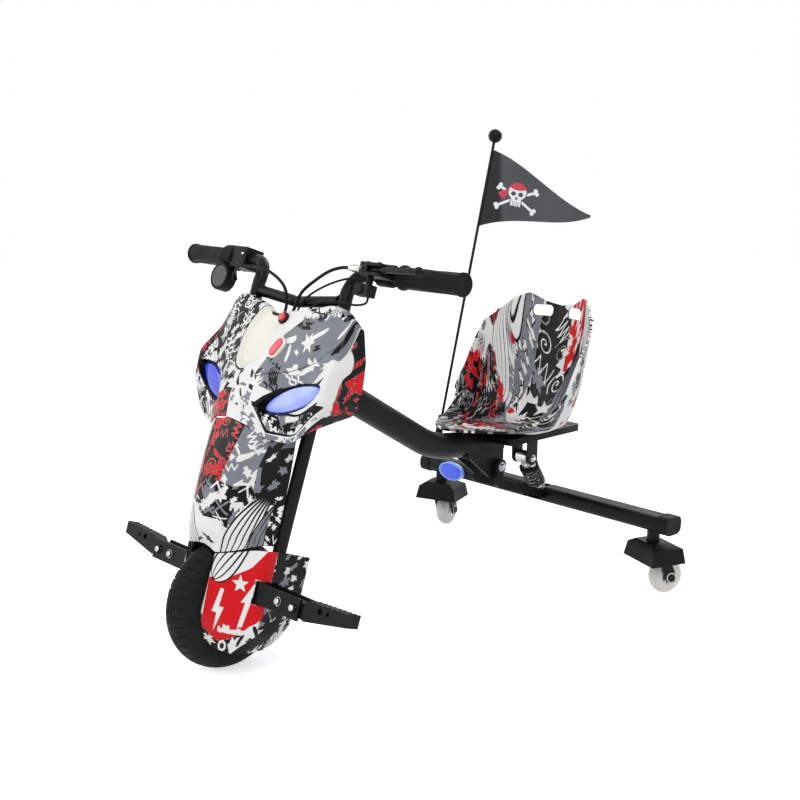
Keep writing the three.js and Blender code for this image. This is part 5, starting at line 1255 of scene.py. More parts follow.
@dataclass
class Fork:
    """Fork legs, crowns, steering stem and folding foot pegs."""

    bench: Bench
    peg_x: float = 166.0
    peg_z: float = 33.0
    bolt_x: float = 134.0
    bracket_front: float = -31.0

    def build(self) -> None:
        """Dress the welded parts and add the bolts."""
        finish = self.bench.finish
        for side in ("left", "right"):
            self.bench.copy(f"fork_{side}", finish.powder, "steering", "frame_paint", 0.9)
            self.bench.copy(f"foot_peg_{side}", finish.powder, f"peg_{side}", "black_plastic", 0.7)
            self.bolts(side, 1 if side == "left" else -1)
        self.bench.copy("lower_crown", finish.powder, "steering", "frame_paint", 0.8)
        self.bench.copy("upper_yoke", finish.powder, "steering", "frame_paint", 0.8)
        top = 404.3
        shaft = lathe([(0, 297.7), (14, 297.7), (15, 298.6), (15, 303.7), (10, 303.7), (10, top), (15, top),
                       (15, top + 5), (14, top + 6), (0, top + 6)], 64)
        self.bench.piece("steering_stem_shaft", shaft, self.bench.datum.raked, finish.zinc, "steering",
                         "bare_steel", ("steering_stem",), sharp=30)

    def bolts(self, side: str, sign: int) -> None:
        """Put zinc bolt heads on the peg bracket."""
        heads = []
        for x in (self.bolt_x, self.peg_x):
            head = screw_head(4.9, 4.2).turned("X", 90)
            heads.append(head.moved(sign * x, self.bracket_front - 0.2, self.peg_z))
        self.bench.piece(f"peg_bolts_{side}", together(heads), self.bench.datum.raked,
                         self.bench.finish.zinc, "steering", "bare_steel", bevel=0.35, sharp=30)


def section_sweep(line: np.ndarray, wide: np.ndarray, thick: np.ndarray) -> Form:
    """Sweep a flattened, squarish section along a line that lies in one horizontal plane."""
    sides, squareness = 24, 3.0
    tangents = np.gradient(line, axis=0)
    tangents /= np.linalg.norm(tangents, axis=1)[:, None]
    across = np.cross([0, 0, 1], tangents)
    angles = full_turn(sides)
    c, s = np.cos(angles), np.sin(angles)
    power = 2 / squareness
    a = np.sign(c) * np.abs(c) ** power
    b = np.sign(s) * np.abs(s) ** power
    rings = []
    for k, place in enumerate(line):
        flat = wide[k] / 2 * a[:, None] * across[k]
        rings.append(place + flat + thick[k] / 2 * b[:, None] * np.array([0, 0, 1.0]))
    return skin(rings)


def rounded_box(x: tuple[float, float], y: tuple[float, float], z: tuple[float, float]) -> Form:
    """Make a plain box between limits, to be rounded by its bevel."""
    outline = [(x[0], y[0]), (x[1], y[0]), (x[1], y[1]), (x[0], y[1])]
    return prism(outline, z[1] - z[0], "Z").moved(0, 0, (z[0] + z[1]) / 2)


@dataclass
class Handlebar:
    """Handlebar with its grips, levers, switches and cables."""

    bench: Bench
    upright_x: float = 102.0
    foot_y: float = -17.0
    tube_radius: float = 10.0
    bend_start: float = 470.0
    top_z: float = 504.5
    lean: float = -4.0
    bend: float = 36.0
    half: float = 300.0
    low: float = 404.3
    cross_z: float = 458.0
    cross_dip: float = 9.4
    grip_start: float = 192.0
    sleeve_start: float = 212.0
    grip_end: float = 307.0
    pivot: tuple[float, float] = (172.0, -34.0)
    switch: tuple[float, float, float] = (151.0, -30.0, 476.0)
    dial: tuple[float, float, float] = (-198.0, -15.0, 470.0)

    def add(self, name: str, form: Form, material: Material, slot: str, nodes: tuple[str, ...] = (),
            body: str = "steering", bevel: float = 0.0, sharp: float = 40.0, segments: int = 2) -> None:
        """Add a piece drawn in the raked frame."""
        self.bench.piece(name, form, self.bench.datum.raked, material, body, slot, nodes, bevel, segments,
                         sharp)

    def build(self) -> None:
        """Make the bars, then everything clamped to them."""
        self.bars()
        self.left_side()
        self.switches()
        self.right_side()
        self.cables()

    def bars(self) -> None:
        """Bend the two bar halves and the cross bar."""
        finish = self.bench.finish
        corner = np.array([self.upright_x, (self.lean + self.foot_y) / 2, self.top_z])
        start = np.array([self.upright_x, self.foot_y, self.bend_start])
        out = np.array([self.upright_x + self.bend, self.lean, self.top_z])
        t = np.linspace(0, 1, 25)[:, None]
        arc = (1 - t) ** 2 * start + 2 * t * (1 - t) * corner + t ** 2 * out
        line = np.vstack([[self.upright_x, self.foot_y, self.low], arc, [self.half, self.lean, self.top_z]])
        left = tube(line, self.tube_radius, 40)
        self.add("handlebar_tube_left", left, finish.powder, "frame_paint", ("handlebar_left",))
        self.add("handlebar_tube_right", left.mirrored(), finish.powder, "frame_paint", ("handlebar_right",))
        places = [(x, self.foot_y, self.cross_z - self.cross_dip * (1 - abs(x) / self.upright_x))
                  for x in (-93, -60, -20, 0, 20, 60, 93)]
        self.add("cross_bar_tube", tube(spline(places, 8), 8.5, 32), finish.powder, "frame_paint",
                 ("cross_bar",))
        welds = []
        for side in (-1, 1):
            foot = lathe([(10.1, self.low + 0.3), (13.5, self.low + 0.3), (12.6, self.low + 3),
                          (10.1, self.low + 6)], 40)
            bead = lathe([(8.4, 0), (10.6, 0.2), (10.4, 2.2), (9.2, 3.4), (8.4, 3.6)], 32, "X")
            bead = bead if side < 0 else bead.mirrored()
            welds += [foot.moved(side * self.upright_x, self.foot_y),
                      bead.moved(side * 92.8, self.foot_y, self.cross_z - 0.9)]
        self.add("handlebar_welds", together(welds), finish.powder, "frame_paint")

    def grip_body(self, start: float) -> Form:
        """Mould a rubber grip with a flange at each end and long swirling ribs between them."""
        end = self.grip_end
        sides, inner = 96, 10.6
        stations = [(start, 16.4), (start + 0.9, 17.4), (start + 3.8, 17.4), (start + 5, 15.4)]
        body = [(x, 15.2) for x in np.linspace(start + 6.5, end - 6, 40)]
        stations += body + [(end - 5, 15.2), (end - 4, 16.3), (end - 0.9, 16.3), (end, 15.4)]
        angles = full_turn(sides)
        rings = []
        for k, (x, radius) in enumerate(stations):
            reach = np.full(sides, radius)
            if 4 <= k < len(stations) - 4:
                share = (x - start) / (end - start)
                swirl = angles * 9 + 2.4 * math.sin(share * 5.0) + 1.2 * np.sin(angles + 1)
                fade = min(1.0, (k - 3) / 4, (len(stations) - 4 - k) / 3)
                ribs = np.sign(np.sin(swirl)) * np.abs(np.sin(swirl)) ** 0.4
                reach = radius - 0.75 * fade * (0.5 - 0.5 * ribs)
            rings.append(np.stack([np.full(sides, x), reach * np.cos(angles), reach * np.sin(angles)], 1))
        for x, radius in ((end, 6), (end - 0.6, 4.5), (end - 0.6, 0.2), (self.half + 0.3, 0.2),
                          (self.half + 0.3, inner), (start, inner)):
            rings.append(np.stack([np.full(sides, x), radius * np.cos(angles), radius * np.sin(angles)], 1))
        return skin(rings, closed=True)

    def left_side(self) -> None:
        """Make the left grip, brake perch, lever and cable adjuster."""
        finish = self.bench.finish
        grip = self.grip_body(self.grip_start).moved(0, self.lean, self.top_z)
        self.add("left_grip_rubber", grip, finish.rubber, "black_rubber", ("left_grip",), sharp=30)
        self.bench.copy("brake_perch", finish.abs_black, "steering", "black_plastic", 1.1)
        path = spline([(165.5, -34, 0), (173, -34, 0), (181, -35.5, 0), (193, -41.5, 0), (206, -47, 0),
                       (228, -51.2, 0), (252, -55.6, 0), (273, -59.5, 0)], 8)
        wide = np.interp(path[:, 0], [165, 181, 206, 276], [14.4, 14.0, 9.0, 8.6])
        blade = section_sweep(path, wide, np.full(len(path), 7.8)).moved(0, 0, self.top_z)
        arc = [(6.5 * math.cos(a), 6.5 * math.sin(a)) for a in np.linspace(-1.4, 1.4, 19)]
        ball = lathe([(0, -6.5), *arc, (0, 6.5)], 40).moved(276, -60, self.top_z)
        self.add("brake_lever_blade", blade.joined(ball), finish.abs_black, "black_plastic", ("brake_lever",),
                 "brake", sharp=50)
        x, y = self.pivot
        top = self.top_z + 9
        screws = [screw_head(3.4, 3.0).moved(x, y, top), screw_head(2.9, 2.6).moved(152, y - 2, top),
                  screw_head(2.5, 2.6, False).turned("X", 90).moved(152, -46, self.top_z)]
        self.add("perch_screws", together(screws), finish.enamel, "bare_steel", bevel=0.25)
        barrel = lathe([(0, 113.9), (3.2, 113.9), (4.4, 114.9), (4.4, 121), (5.5, 122), (5.5, 134.4),
                        (4.2, 135.2), (4.2, 136.2), (0, 136.2)], 40, "X")
        teeth = [(7.0 if k % 2 else 6.3, k / 40 * TAU) for k in range(40)]
        knurl = prism([(r * math.cos(a), r * math.sin(a)) for r, a in teeth], 7.4, "X").moved(140.2)
        both = barrel.joined(knurl).moved(0, y, self.top_z)
        self.add("cable_adjuster_barrel", both, finish.alloy, "cast_alloy", ("cable_adjuster",), bevel=0.2,
                 sharp=30)

    def switches(self) -> None:
        """Make the switch box on its stud, with the horn button."""
        finish = self.bench.finish
        x, y, z = self.switch
        box = rounded_box((x - 14.5, x + 14.5), (y - 8.5, y + 8.5), (z - 8.5, z + 8.5))
        ribs = [rounded_box((x - 14.9, x - 13.6), (y - 6, y + 6), (z + k * 4 - 1, z + k * 4 + 1))
                for k in (-1, 0, 1)]
        self.add("switch_box_case", box.joined(*ribs), finish.abs_black, "black_plastic", ("switch_box",),
                 bevel=1.6, segments=3)
        stalk = lathe([(0, z + 8), (5, z + 8), (5, 495.2), (0, 495.2)], 32)
        nut = screw_head(4.4, 3.0).moved(0, 0, z + 8.5)
        self.add("switch_box_stalk", stalk.joined(nut).moved(156, y), finish.abs_black, "black_plastic")
        bezel = lathe([(5.4, 0), (6.8, 0), (6.8, 0.7), (6.2, 1.1), (5.4, 0.9)], 40).turned("X", 90)
        self.add("horn_bezel", bezel.moved(x, y - 8.3, z), finish.abs_black, "black_plastic", sharp=30)
        cap = lathe([(0, -3), (5, -3), (5, 1.4), (4.5, 2.2), (3, 2.5), (0, 2.5)], 40).turned("X", 90)
        self.add("horn_button_cap", cap.moved(x, y - 8.5, z), finish.abs_black, "button_red",
                 ("horn_button",), "horn", sharp=50)

    def right_side(self) -> None:
        """Make the twist grip, its housing and the round charge dial."""
        finish = self.bench.finish
        sleeve = self.grip_body(self.sleeve_start + 0.4).mirrored().moved(0, self.lean, self.top_z)
        self.add("throttle_sleeve_rubber", sleeve, finish.rubber, "black_rubber", ("throttle_sleeve",),
                 "throttle", sharp=30)
        ridge = [(10.4, -211.4)]
        for k in range(6):
            x = -211.2 + k * 4.3
            ridge += [(18.6, x), (20, x + 0.8), (20, x + 2.8), (18.6, x + 3.6)]
        ridge += [(18.4, -185.2), (10.4, -185.2), (10.4, -211.4)]
        ring = lathe(ridge, 96, "X").moved(0, self.lean, self.top_z)
        self.add("throttle_ring", ring, finish.abs_black, "black_plastic", ("throttle_housing",), sharp=30)
        block = rounded_box((-185.4, -150), (-19, 15), (488, 522))
        lip = rounded_box((-186.6, -184.6), (-19.6, 15.4), (487.4, 522.4))
        self.add("throttle_block", block.joined(lip), finish.abs_black, "black_plastic", bevel=3.2,
                 segments=4)
        face = rounded_box((-181, -155), (-19.5, -17.5), (493, 517))
        self.add("throttle_front_panel", face, finish.abs_black, "black_plastic", bevel=0.7)
        lamp = lathe([(0, 0), (1.5, 0), (1.2, 0.5), (0, 0.7)], 24).turned("X", 90).moved(-158.5, -19.5, 511)
        self.add("throttle_lamp", lamp, finish.spark, "lens_blue")
        pod = lathe([(0, -10), (20.8, -10), (22, -8.8), (22, 7.4), (21.2, 9.4), (19.4, 10), (18.2, 8.6),
                     (0, 8.6)], 80).turned("X", 90).moved(*self.dial)
        neck = tube(np.array([[-198, -14, 480.0], [-190, -6, 498.0]]), 9, 32)
        self.add("throttle_dial_pod", pod.joined(neck), finish.abs_black, "black_plastic", sharp=30)
        glass = lathe([(0, 8.7), (17.9, 8.7), (17.4, 9.3), (0, 9.5)], 64).turned("X", 90).moved(*self.dial)
        self.add("throttle_dial_face", glass, finish.grey_face, "black_plastic")

    def cables(self) -> None:
        """Run the four cables from the controls into the cowl."""
        finish = self.bench.finish
        runs = {"brake_cable": (2.4, [(113.4, -34, 504.5), (98, -35, 503), (79, -38, 496), (54, -39, 480),
                                      (28, -37, 460), (13, -30, 440), (6, -29, 420), (4, -32, 396)]),
                "brake_switch_wire": (1.6, [(151.2, -22, 493.3), (122, -30, 491), (104, -34, 486),
                                            (71, -34, 474), (39, -32, 457), (20, -28, 440), (17, -29, 418),
                                            (16, -32, 396)]),
                "throttle_cable": (2.4, [(-174.5, -15, 470), (-164, -22, 476), (-140, -34, 486),
                                         (-100, -40, 488), (-52, -42, 484), (-14, -36, 464), (-9, -29, 440),
                                         (-10, -29, 418), (-10, -32, 396)]),
                "switch_wire": (1.6, [(161, -30, 466.9), (162, -32, 459), (148, -34, 454), (124, -35, 454),
                                      (98, -34, 454), (70, -31, 452), (48, -27, 444), (34, -28, 428),
                                      (28, -29, 414), (28, -32, 396)])}
        for name, (radius, places) in runs.items():
            self.add(f"{name}_run", tube(spline(places, 10), radius, 16), finish.rubber, "black_rubber",
                     (name,))
        sleeve = lathe([(2.4, 0), (4.2, 0.5), (4.2, 9), (3.2, 11), (2.4, 11)], 24, "X")
        boot = sleeve.moved(-176.5, -15, 470)
        self.add("throttle_cable_boot", boot, finish.rubber, "black_rubber")


TUBE_SIDES = 64
# Radius inside the head tube's wall at which the main tube ends, so that no gap shows.
HEAD_TUBE_FACE = 21.7


@dataclass
class MainFrame:
    """Main tube, head tube, seat plate and the brackets under it."""

    bench: Bench
    radius: float = 22.0
    axis_y: float = 127.0
    axis_z: float = 438.0
    drop: float = math.radians(31)
    rest: float = math.radians(6)
    bend_y: float = 392.0
    bend_radius: float = 160.0
    end_y: float = 583.0

    def line(self) -> np.ndarray:
        """Draw the tube's centre line in the middle plane."""
        fall = math.tan(self.drop)
        start = self.axis_z - (self.bend_y - self.axis_y) * fall
        places = [(0.0, y, self.axis_z - (y - self.axis_y) * fall) for y in np.linspace(128.5, 380, 8)]
        for angle in np.linspace(self.drop, self.rest, 25):
            places.append((0.0, self.bend_y + self.bend_radius * (math.sin(self.drop) - math.sin(angle)),
                           start - self.bend_radius * (math.cos(angle) - math.cos(self.drop))))
        y, z = places[-1][1:]
        places.append((0.0, self.end_y - 0.3, z - (self.end_y - y) * math.tan(self.rest)))
        return np.array(places)

    def build(self) -> None:
        """Make the tubes and dress the pressed plates."""
        finish = self.bench.finish
        datum = self.bench.datum
        form = tube(self.line(), self.radius, TUBE_SIDES)
        self.mitre(form)
        self.bench.piece("main_tube_bent", form, datum.floor, finish.powder, "frame", "frame_paint",
                         ("main_tube",))
        ring = lathe([(16, 319.5), (21.2, 319.5), (22, 320.3), (22, 387.7), (21.2, 388.5), (16, 388.5),
                      (16, 319.5)], 64)
        self.bench.piece("head_tube_ring", ring, datum.raked, finish.powder, "frame", "frame_paint",
                         ("head_tube",), sharp=30)
        for name, low in (("lower_bearing", 312.3), ("upper_bearing", 388.8)):
            cup = lathe([(10.3, low), (18.4, low), (19, low + 0.6), (19, low + 3), (18, low + 3.4),
                         (18, low + 4), (19, low + 4.4), (19, low + 6.6), (10.3, low + 6.9), (10.3, low)], 64)
            self.bench.piece(f"{name}_cup", cup, datum.raked, finish.zinc, "frame", "bare_steel", (name,),
                             sharp=30)
        self.bench.copy("seat_plate", finish.powder, "frame", "frame_paint", 0.9)
        self.bench.copy("pivot_bracket", finish.powder, "frame", "frame_paint", 0.6)
        self.bolt("pivot_bolt", 566, 207, 5, 30.7, 8.2, 5.8)
        self.bolt("shock_top_bolt", 662.5, 203, 4.5, 19.8, 6.6, 3.9)

    def mitre(self, form: Form) -> None:
        """Trim the front ring of the main tube to the round of the head tube."""
        inverse = np.array(self.bench.datum.raked.inverted() @ self.bench.datum.floor)
        direction = inverse[:3, :3] @ np.array([0, math.cos(self.drop), -math.sin(self.drop)])
        for k in range(TUBE_SIDES):
            place = inverse[:3, :3] @ form.points[k] + inverse[:3, 3]
            reach = math.sqrt(max(HEAD_TUBE_FACE ** 2 - place[0] ** 2, 0.0))
            step = (reach - place[1]) / direction[1]
            form.points[k] += step * np.array([0, math.cos(self.drop), -math.sin(self.drop)])

    def bolt(self, node: str, y: float, z: float, radius: float, start: float, head: float,
             high: float) -> None:
        """Make a cross bolt with its head on one side and its nut on the other."""
        shaft = lathe([(0, -start), (radius, -start), (radius, start), (0, start)], 40, "X").moved(0, y, z)
        heads = [screw_head(head / 1.36, high).turned("Y", 90 * side).moved(side * start, y, z)
                 for side in (-1, 1)]
        self.bench.piece(f"{node}_set", shaft.joined(*heads), self.bench.datum.floor, self.bench.finish.zinc,
                         "frame", "bare_steel", (node,), bevel=0.3, sharp=30)


def toothed_ring(outline: Profile, bore: float, depth: float) -> Form:
    """Make a flat ring between an outline and a round bore, centred at height zero."""
    count = len(outline)
    inner = [(bore * math.cos(k / count * TAU), bore * math.sin(k / count * TAU)) for k in range(count)]
    loops = ((outline, -0.5), (outline, 0.5), (inner, 0.5), (inner, -0.5))
    return skin([np.array([(x, y, share * depth) for x, y in loop]) for loop, share in loops], closed=True)


@dataclass
class RearSwing:
    """Sprung rear beam with its end caps, lamp and shock absorber."""

    bench: Bench
    beam_y: float = 708.0
    beam_z: float = 130.5
    lamp_x: float = -204.0
    eye: tuple[float, float] = (709.0, 131.0)
    top: tuple[float, float] = (662.5, 203.0)

    def build(self) -> None:
        """Dress the beam and its caps, then make the lamp and the shock absorber."""
        finish = self.bench.finish
        self.bench.copy("rear_beam", finish.powder, "rear_swing", "frame_paint", 1.0)
        for side in ("left", "right"):
            self.bench.copy(f"end_cap_{side}", finish.rubber, "rear_swing", "black_rubber", 2.6)
        self.lamp()
        self.shock()

    def lamp(self) -> None:
        """Make the oval reflector with a pale rim and a domed lens."""
        count = 96
        front = self.beam_y - 20.3

        def oval(share: float, depth: float) -> np.ndarray:
            angle = full_turn(count)
            return np.stack([self.lamp_x + 32.3 * share * np.cos(angle), np.full(count, front - depth),
                             self.beam_z - 0.3 + 17.8 * share * np.sin(angle)], 1)

        base = skin([oval(1, 0.2), oval(1, 5.4), oval(0.97, 6.6), oval(0.9, 6.9), oval(0.86, 5.6),
                     oval(0.8, 5.0)])
        glass = skin([oval(0.85, 4.2), oval(0.85, 5.9), oval(0.8, 6.5), oval(0.5, 6.85), oval(0.2, 6.95)])
        datum = self.bench.datum.floor
        # The pale rim and the lens both glow with painted light; no lamp is set behind them.
        self.bench.piece("rear_lamp_bezel", base, datum, self.bench.finish.rear_rim_painted_glow, "rear_swing",
                         "lens_blue", sharp=30)
        self.bench.piece("rear_lamp_lens", glass, datum, self.bench.finish.rear_lens_painted_glow, "rear_swing",
                         "lens_blue", ("rear_lamp",), sharp=30)

    def shock(self) -> None:
        """Turn the shock absorber about its leaning axis and wind its spring."""
        finish = self.bench.finish
        rise = Vector((0, self.top[0] - self.eye[0], self.top[1] - self.eye[1]))
        length = rise.length
        lean = math.atan2(self.eye[0] - self.top[0], self.top[1] - self.eye[1])
        matrix = (self.bench.datum.floor @ Matrix.Translation(Vector((0, *self.eye)))
                  @ Matrix.Rotation(lean, 4, "X"))
        ring = lathe([(6.2, -12), (9, -12), (9.5, -11.5), (9.5, 11.5), (9, 12), (6.2, 12), (6.2, -12)], 56,
                     "X")
        rod = lathe([(0, 7.5), (7.5, 7.5), (7.5, 15.8), (17, 16), (18, 16.8), (18, 19.6), (17.2, 20.5),
                     (7, 20.5), (6, 21.5), (4.5, 22.5), (4.5, 62), (0, 62)], 64)
        self.bench.piece("shock_rod_turned", ring.joined(rod), matrix, finish.alloy, "shock_lower",
                         "bare_steel", ("shock_rod",), sharp=30)
        eye = lathe([(4.8, -12), (11.4, -12), (12, -11.4), (12, 11.4), (11.4, 12), (4.8, 12), (4.8, -12)],
                    64, "X")
        body = lathe([(0, 70.6), (5.3, 70.6), (5.3, 46.2), (10.4, 46.2), (11, 47), (11, 56), (11, length - 8),
                      (0, length - 8)], 64)
        self.bench.piece("shock_body_turned", body.joined(eye.moved(0, 0, length)), matrix, finish.alloy,
                         "shock_upper", "cast_alloy", ("shock_body",), sharp=30)
        outline = []
        for k in range(120):
            angle = k / 120 * TAU
            tooth = 18.0 if (k * 10 / 120) % 1 > 0.34 else 15.8
            outline.append((tooth * math.cos(angle), tooth * math.sin(angle)))
        collar = toothed_ring(outline, 7.0, 6.2).moved(0, 0, 61.6)
        self.bench.piece("shock_collar", collar, matrix, finish.abs_black, "shock_upper", "cast_alloy",
                         bevel=0.45, sharp=30)
        knob = lathe([(0, 5.8), (6.2, 5.8), (6.2, 9), (6.9, 9.6), (6.9, 14.4), (6.2, 15), (0, 15)], 40, "X")
        self.bench.piece("shock_knob", knob.moved(0, 0, 70.4), matrix, finish.alloy, "shock_upper",
                         "cast_alloy", sharp=30)
        steps = 260
        share = np.linspace(0, 1, steps)
        turns = 4.6
        angle = share * turns * TAU
        ease = np.interp(share, [0, 0.13, 0.87, 1], [0, 0.06, 0.94, 1])
        line = np.stack([15.4 * np.cos(angle), 15.4 * np.sin(angle), 23.3 + (55.6 - 23.3) * ease], 1)
        spring = self.bench.piece("shock_coil", tube(line, 2.4, 20), matrix, finish.enamel, "shock_upper",
                                  "spring_black", ("shock_spring",), sharp=50)
        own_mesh(spring)


@dataclass
class Caster:
    """Swivel caster with its faceted hood."""

    bench: Bench
    side: int
    x: float = 254.0
    y: float = 708.0
    turn: float = 20.0
    trail: float = 28.0
    wheel_radius: float = 30.5

    def build(self) -> None:
        """Dress the fork and hood and turn the wheel."""
        finish = self.bench.finish
        label = "left" if self.side > 0 else "right"
        body = f"caster_{label}"
        matrix = (self.bench.datum.floor @ Matrix.Translation(Vector((self.side * self.x, self.y, 0)))
                  @ Matrix.Rotation(math.radians(-self.side * self.turn), 4, "Z"))
        self.bench.copy(f"caster_fork_{label}", finish.powder, body, "frame_paint", 0.5)
        self.bench.copy(f"caster_hood_{label}", finish.abs_black, body, "black_rubber", 1.2)
        tread = [(13.4, -12.9), (22, -12.9)]
        for angle in np.linspace(-0.5, 0.5, 15) * math.pi:
            tread.append((22.4 + 8.07 * math.cos(angle), 12.9 * math.sin(angle)))
        tread += [(22, 12.9), (13.4, 12.9), (13.4, -12.9)]
        self.bench.piece(f"caster_tread_{label}",
                         lathe(tread, 96, "X").moved(0, self.trail, self.wheel_radius), matrix, finish.milk,
                         f"caster_wheel_{label}", "caster_milk", (f"caster_wheel_{label}",), sharp=30)
        hub = [(4.3, -12.6), (6.5, -12.6), (7, -11.2), (11.5, -11.2), (12.2, -12.4), (13.3, -12.6),
               (13.3, 12.6), (12.2, 12.4), (11.5, 11.2), (7, 11.2), (6.5, 12.6), (4.3, 12.6), (4.3, -12.6)]
        self.bench.piece(f"caster_hub_{label}", lathe(hub, 64, "X").moved(0, self.trail, self.wheel_radius),
                         matrix, finish.zinc, f"caster_wheel_{label}", "bare_steel", sharp=30)
        nuts = [screw_head(4.9, 2.6).turned("Y", 90 * s).moved(s * 18.6, self.trail, self.wheel_radius)
                for s in (-1, 1)]
        cover = lathe([(0, 18.2), (0, 18.7), (5, 18.7), (9.4, 18.5), (10.2, 18.2)][::-1], 48, "X")
        covers = [form.moved(0, self.trail, self.wheel_radius) for form in (cover, cover.mirrored())]
        self.bench.piece(f"caster_covers_{label}", together(covers), matrix, finish.dish, body,
                         "bare_steel", sharp=30)
        self.bench.piece(f"caster_nuts_{label}", together(nuts), matrix, finish.zinc, body,
                         "bare_steel", bevel=0.25, sharp=30)


@dataclass
class FrontBody:
    """Printed shells round the steering, with their lamps, buttons and the units behind them."""

    bench: Bench
    # Boxes of the shells: half width, front, back, bottom and top, which the rows below take shares of.
    cowl: tuple[float, ...] = (153.0, -88.0, 13.0, 243.0, 450.0)
    column: tuple[float, ...] = (79.0, -99.0, 6.0, 74.0, 262.0)
    dish: tuple[float, ...] = (-0.11, 0.22, 0.7, 0.26)
    dish_depth: float = 6.2
    skirt: tuple[float, ...] = (98.0, -78.0, 44.0, -62.0, 93.0)
    wall: float = 2.6
    seam: float = 1.4
    lens_length: float = 97.0
    lens_height: float = 30.0
    cowl_rows: tuple = (
        ((0, .99, .09), (.235, .97, .07), (.412, .81, .01),
         (.641, .622, .01), (.882, .624, .13), (.931, .02, .29)),
        ((0, 1, .22), (.235, .97, .22), (.49, .83, .24),
         (.75, .71, .28), (.98, .733, .32), (.98, .01, .35)),
        ((0, .9, .45), (.235, .87, .45), (.49, .73, .47), (.75, .61, .5), (1, .745, .52), (.98, 0, .48)),
        ((0, .72, .68), (.235, .72, .7), (.49, .67, .72),
         (.745, .6, .73), (.94, .485, .72), (.98, .06, .66)),
        ((0, .58, .88), (.235, .57, .91), (.46, .54, .95),
         (.667, .51, .99), (.85, .43, .95), (.97, .2, .84)),
        ((0, .48, .9), (.235, .46, .93), (.46, .42, .97), (.667, .43, 1), (.84, .36, .97), (.95, .2, .87)),
    )

    column_rows: tuple = (
        ((0, .78, .03), (.21, .79, .02), (.421, .8, 0),
         (.681, .62, .05), (.861, .381, .12), (1, .181, .14)),
        ((0, .93, .14), (.276, .91, .14), (.534, .82, .14),
         (.745, .58, .16), (.861, .362, .18), (1, .181, .2)),
        ((0, 1, .34), (.259, .97, .34), (.502, .87, .34),
         (.696, .6, .34), (.861, .343, .34), (.987, .181, .34)),
        ((0, .99, .7), (.291, .96, .69), (.534, .86, .68),
         (.712, .62, .68), (.835, .362, .68), (.949, .181, .68)),
        ((0, .877, 1), (.455, .858, .973), (.797, .705, .917),
         (.835, .533, .91), (.861, .4, .93), (.924, .219, .95)),
    )

    skirt_rows: tuple = (
        ((.306, .836, .065), (.469, .77, .013), (.673, .639, 0),
         (.837, .508, .039), (.878, .295, .09), (.837, .082, .194)),
        ((.306, .967, .277), (.531, .869, .258), (.755, .73, .245),
         (1, .59, .258), (1, .295, .271), (.939, .049, .335)),
        ((.316, .984, .639), (.551, .869, .639), (.755, .721, .632),
         (.954, .59, .632), (.954, .295, .632), (.969, 0, .645)),
        ((.34, 1, .858), (.551, .848, .913), (.714, .689, .968),
         (.89, .59, .994), (.89, .295, 1), (.98, .016, .994)),
    )

    def spread(self, rows: tuple, box: tuple[float, ...], drop: float = 0.0) -> np.ndarray:
        """Turn shares of half width, depth and height into millimetres."""
        half, front, back, low, high = box
        table = np.array(rows, float)
        return np.stack([half * table[..., 0], back - (back - front) * table[..., 1],
                         low + (high - low) * table[..., 2] - drop], -1)

    def lens_frame(self) -> Matrix:
        """Place the left lens."""
        return posed((93, -57, 307), (10, "Z"), (-26, "Y"), (90, "X"))

    def leaf(self, angle: np.ndarray) -> tuple[np.ndarray, np.ndarray]:
        """Draw the pointed leaf of a lens as a share of its half sizes."""
        s = np.sin(angle)
        return np.cos(angle), s * (0.75 + 0.25 * np.abs(s))

    def build(self) -> None:
        """Make the shells, then what is set in them."""
        finish = self.bench.finish
        self.front_cowl()
        self.column_cover()
        self.skirts()
        self.lenses()
        self.buttons()
        self.bench.copy("battery_pack", finish.abs_black, "steering", "black_plastic", 1.0)
        self.bench.copy("controller", finish.alloy, "steering", "cast_alloy", 0.8)

    def front_cowl(self) -> None:
        """Mould the cowl with a sunk dish, a sunk hollow round each lens that is filled black as painted
        shade, and a seam line.
        """
        rows = mirrored_rows(self.spread(self.cowl_rows, self.cowl))
        grid = relaxed(rows, STRAIGHT_STEPS, FINE_STEPS)
        shell = Shell("front_cowl_shell", grid, self.wall, "steering", "front_cowl")
        u, v = unroll(grid)
        half, _, _, low, high = self.cowl
        dish_x, dish_wide, dish_z, dish_high = self.dish
        across = (grid[..., 0] / half - dish_x) / dish_wide
        up = ((grid[..., 2] - low) / (high - low) - dish_z) / dish_high
        front = grid[..., 1] < -20
        round_dish = np.where(front, np.sqrt(across ** 2 + up ** 2), 9.0)
        dish = np.clip((1 - round_dish) * 5, 0, 1) * self.dish_depth
        lens_pocket_shade = np.zeros(u.shape)
        sunk = np.zeros(u.shape)
        inverse = self.lens_frame().inverted()
        for side in (1, -1):
            places = carried((grid * np.array([side, 1, 1])).reshape(-1, 3), inverse)
            x = places[:, 0].reshape(u.shape) / (self.lens_length / 2 + 2.5)
            y = places[:, 1].reshape(u.shape) / (self.lens_height / 2 + 2.5)
            deep = np.abs(places[:, 2].reshape(u.shape)) < 30
            inside = 1 - np.sqrt(x ** 2 + (y / (0.78 + 0.22 * np.abs(y).clip(0, 1))) ** 2)
            share = np.clip(inside * 7 + 0.6, 0, 1) * deep
            lens_pocket_shade = np.maximum(lens_pocket_shade, share)
            sunk = np.maximum(sunk, share * np.clip(places[:, 2].reshape(u.shape) + 1.5, 3.0, 14.0))
        seam = line_distance(u, v, [np.array([(26.0, 70.0), (127.0, 130.0), (176.0, 150.0)])])
        shell.sink(np.maximum.reduce([dish, sunk, np.clip(1.6 - seam, 0, 1) * 0.8]))
        painter = Painter(u, v)
        print_cowl(painter)
        inside = (1 - round_dish) * 34
        painter.cover(BLACK, np.minimum(inside + 2.4, np.clip(9 - across * 30, -6, 6)))
        painter.cover(WHITE, np.clip(inside + 0.4, -6, 6))
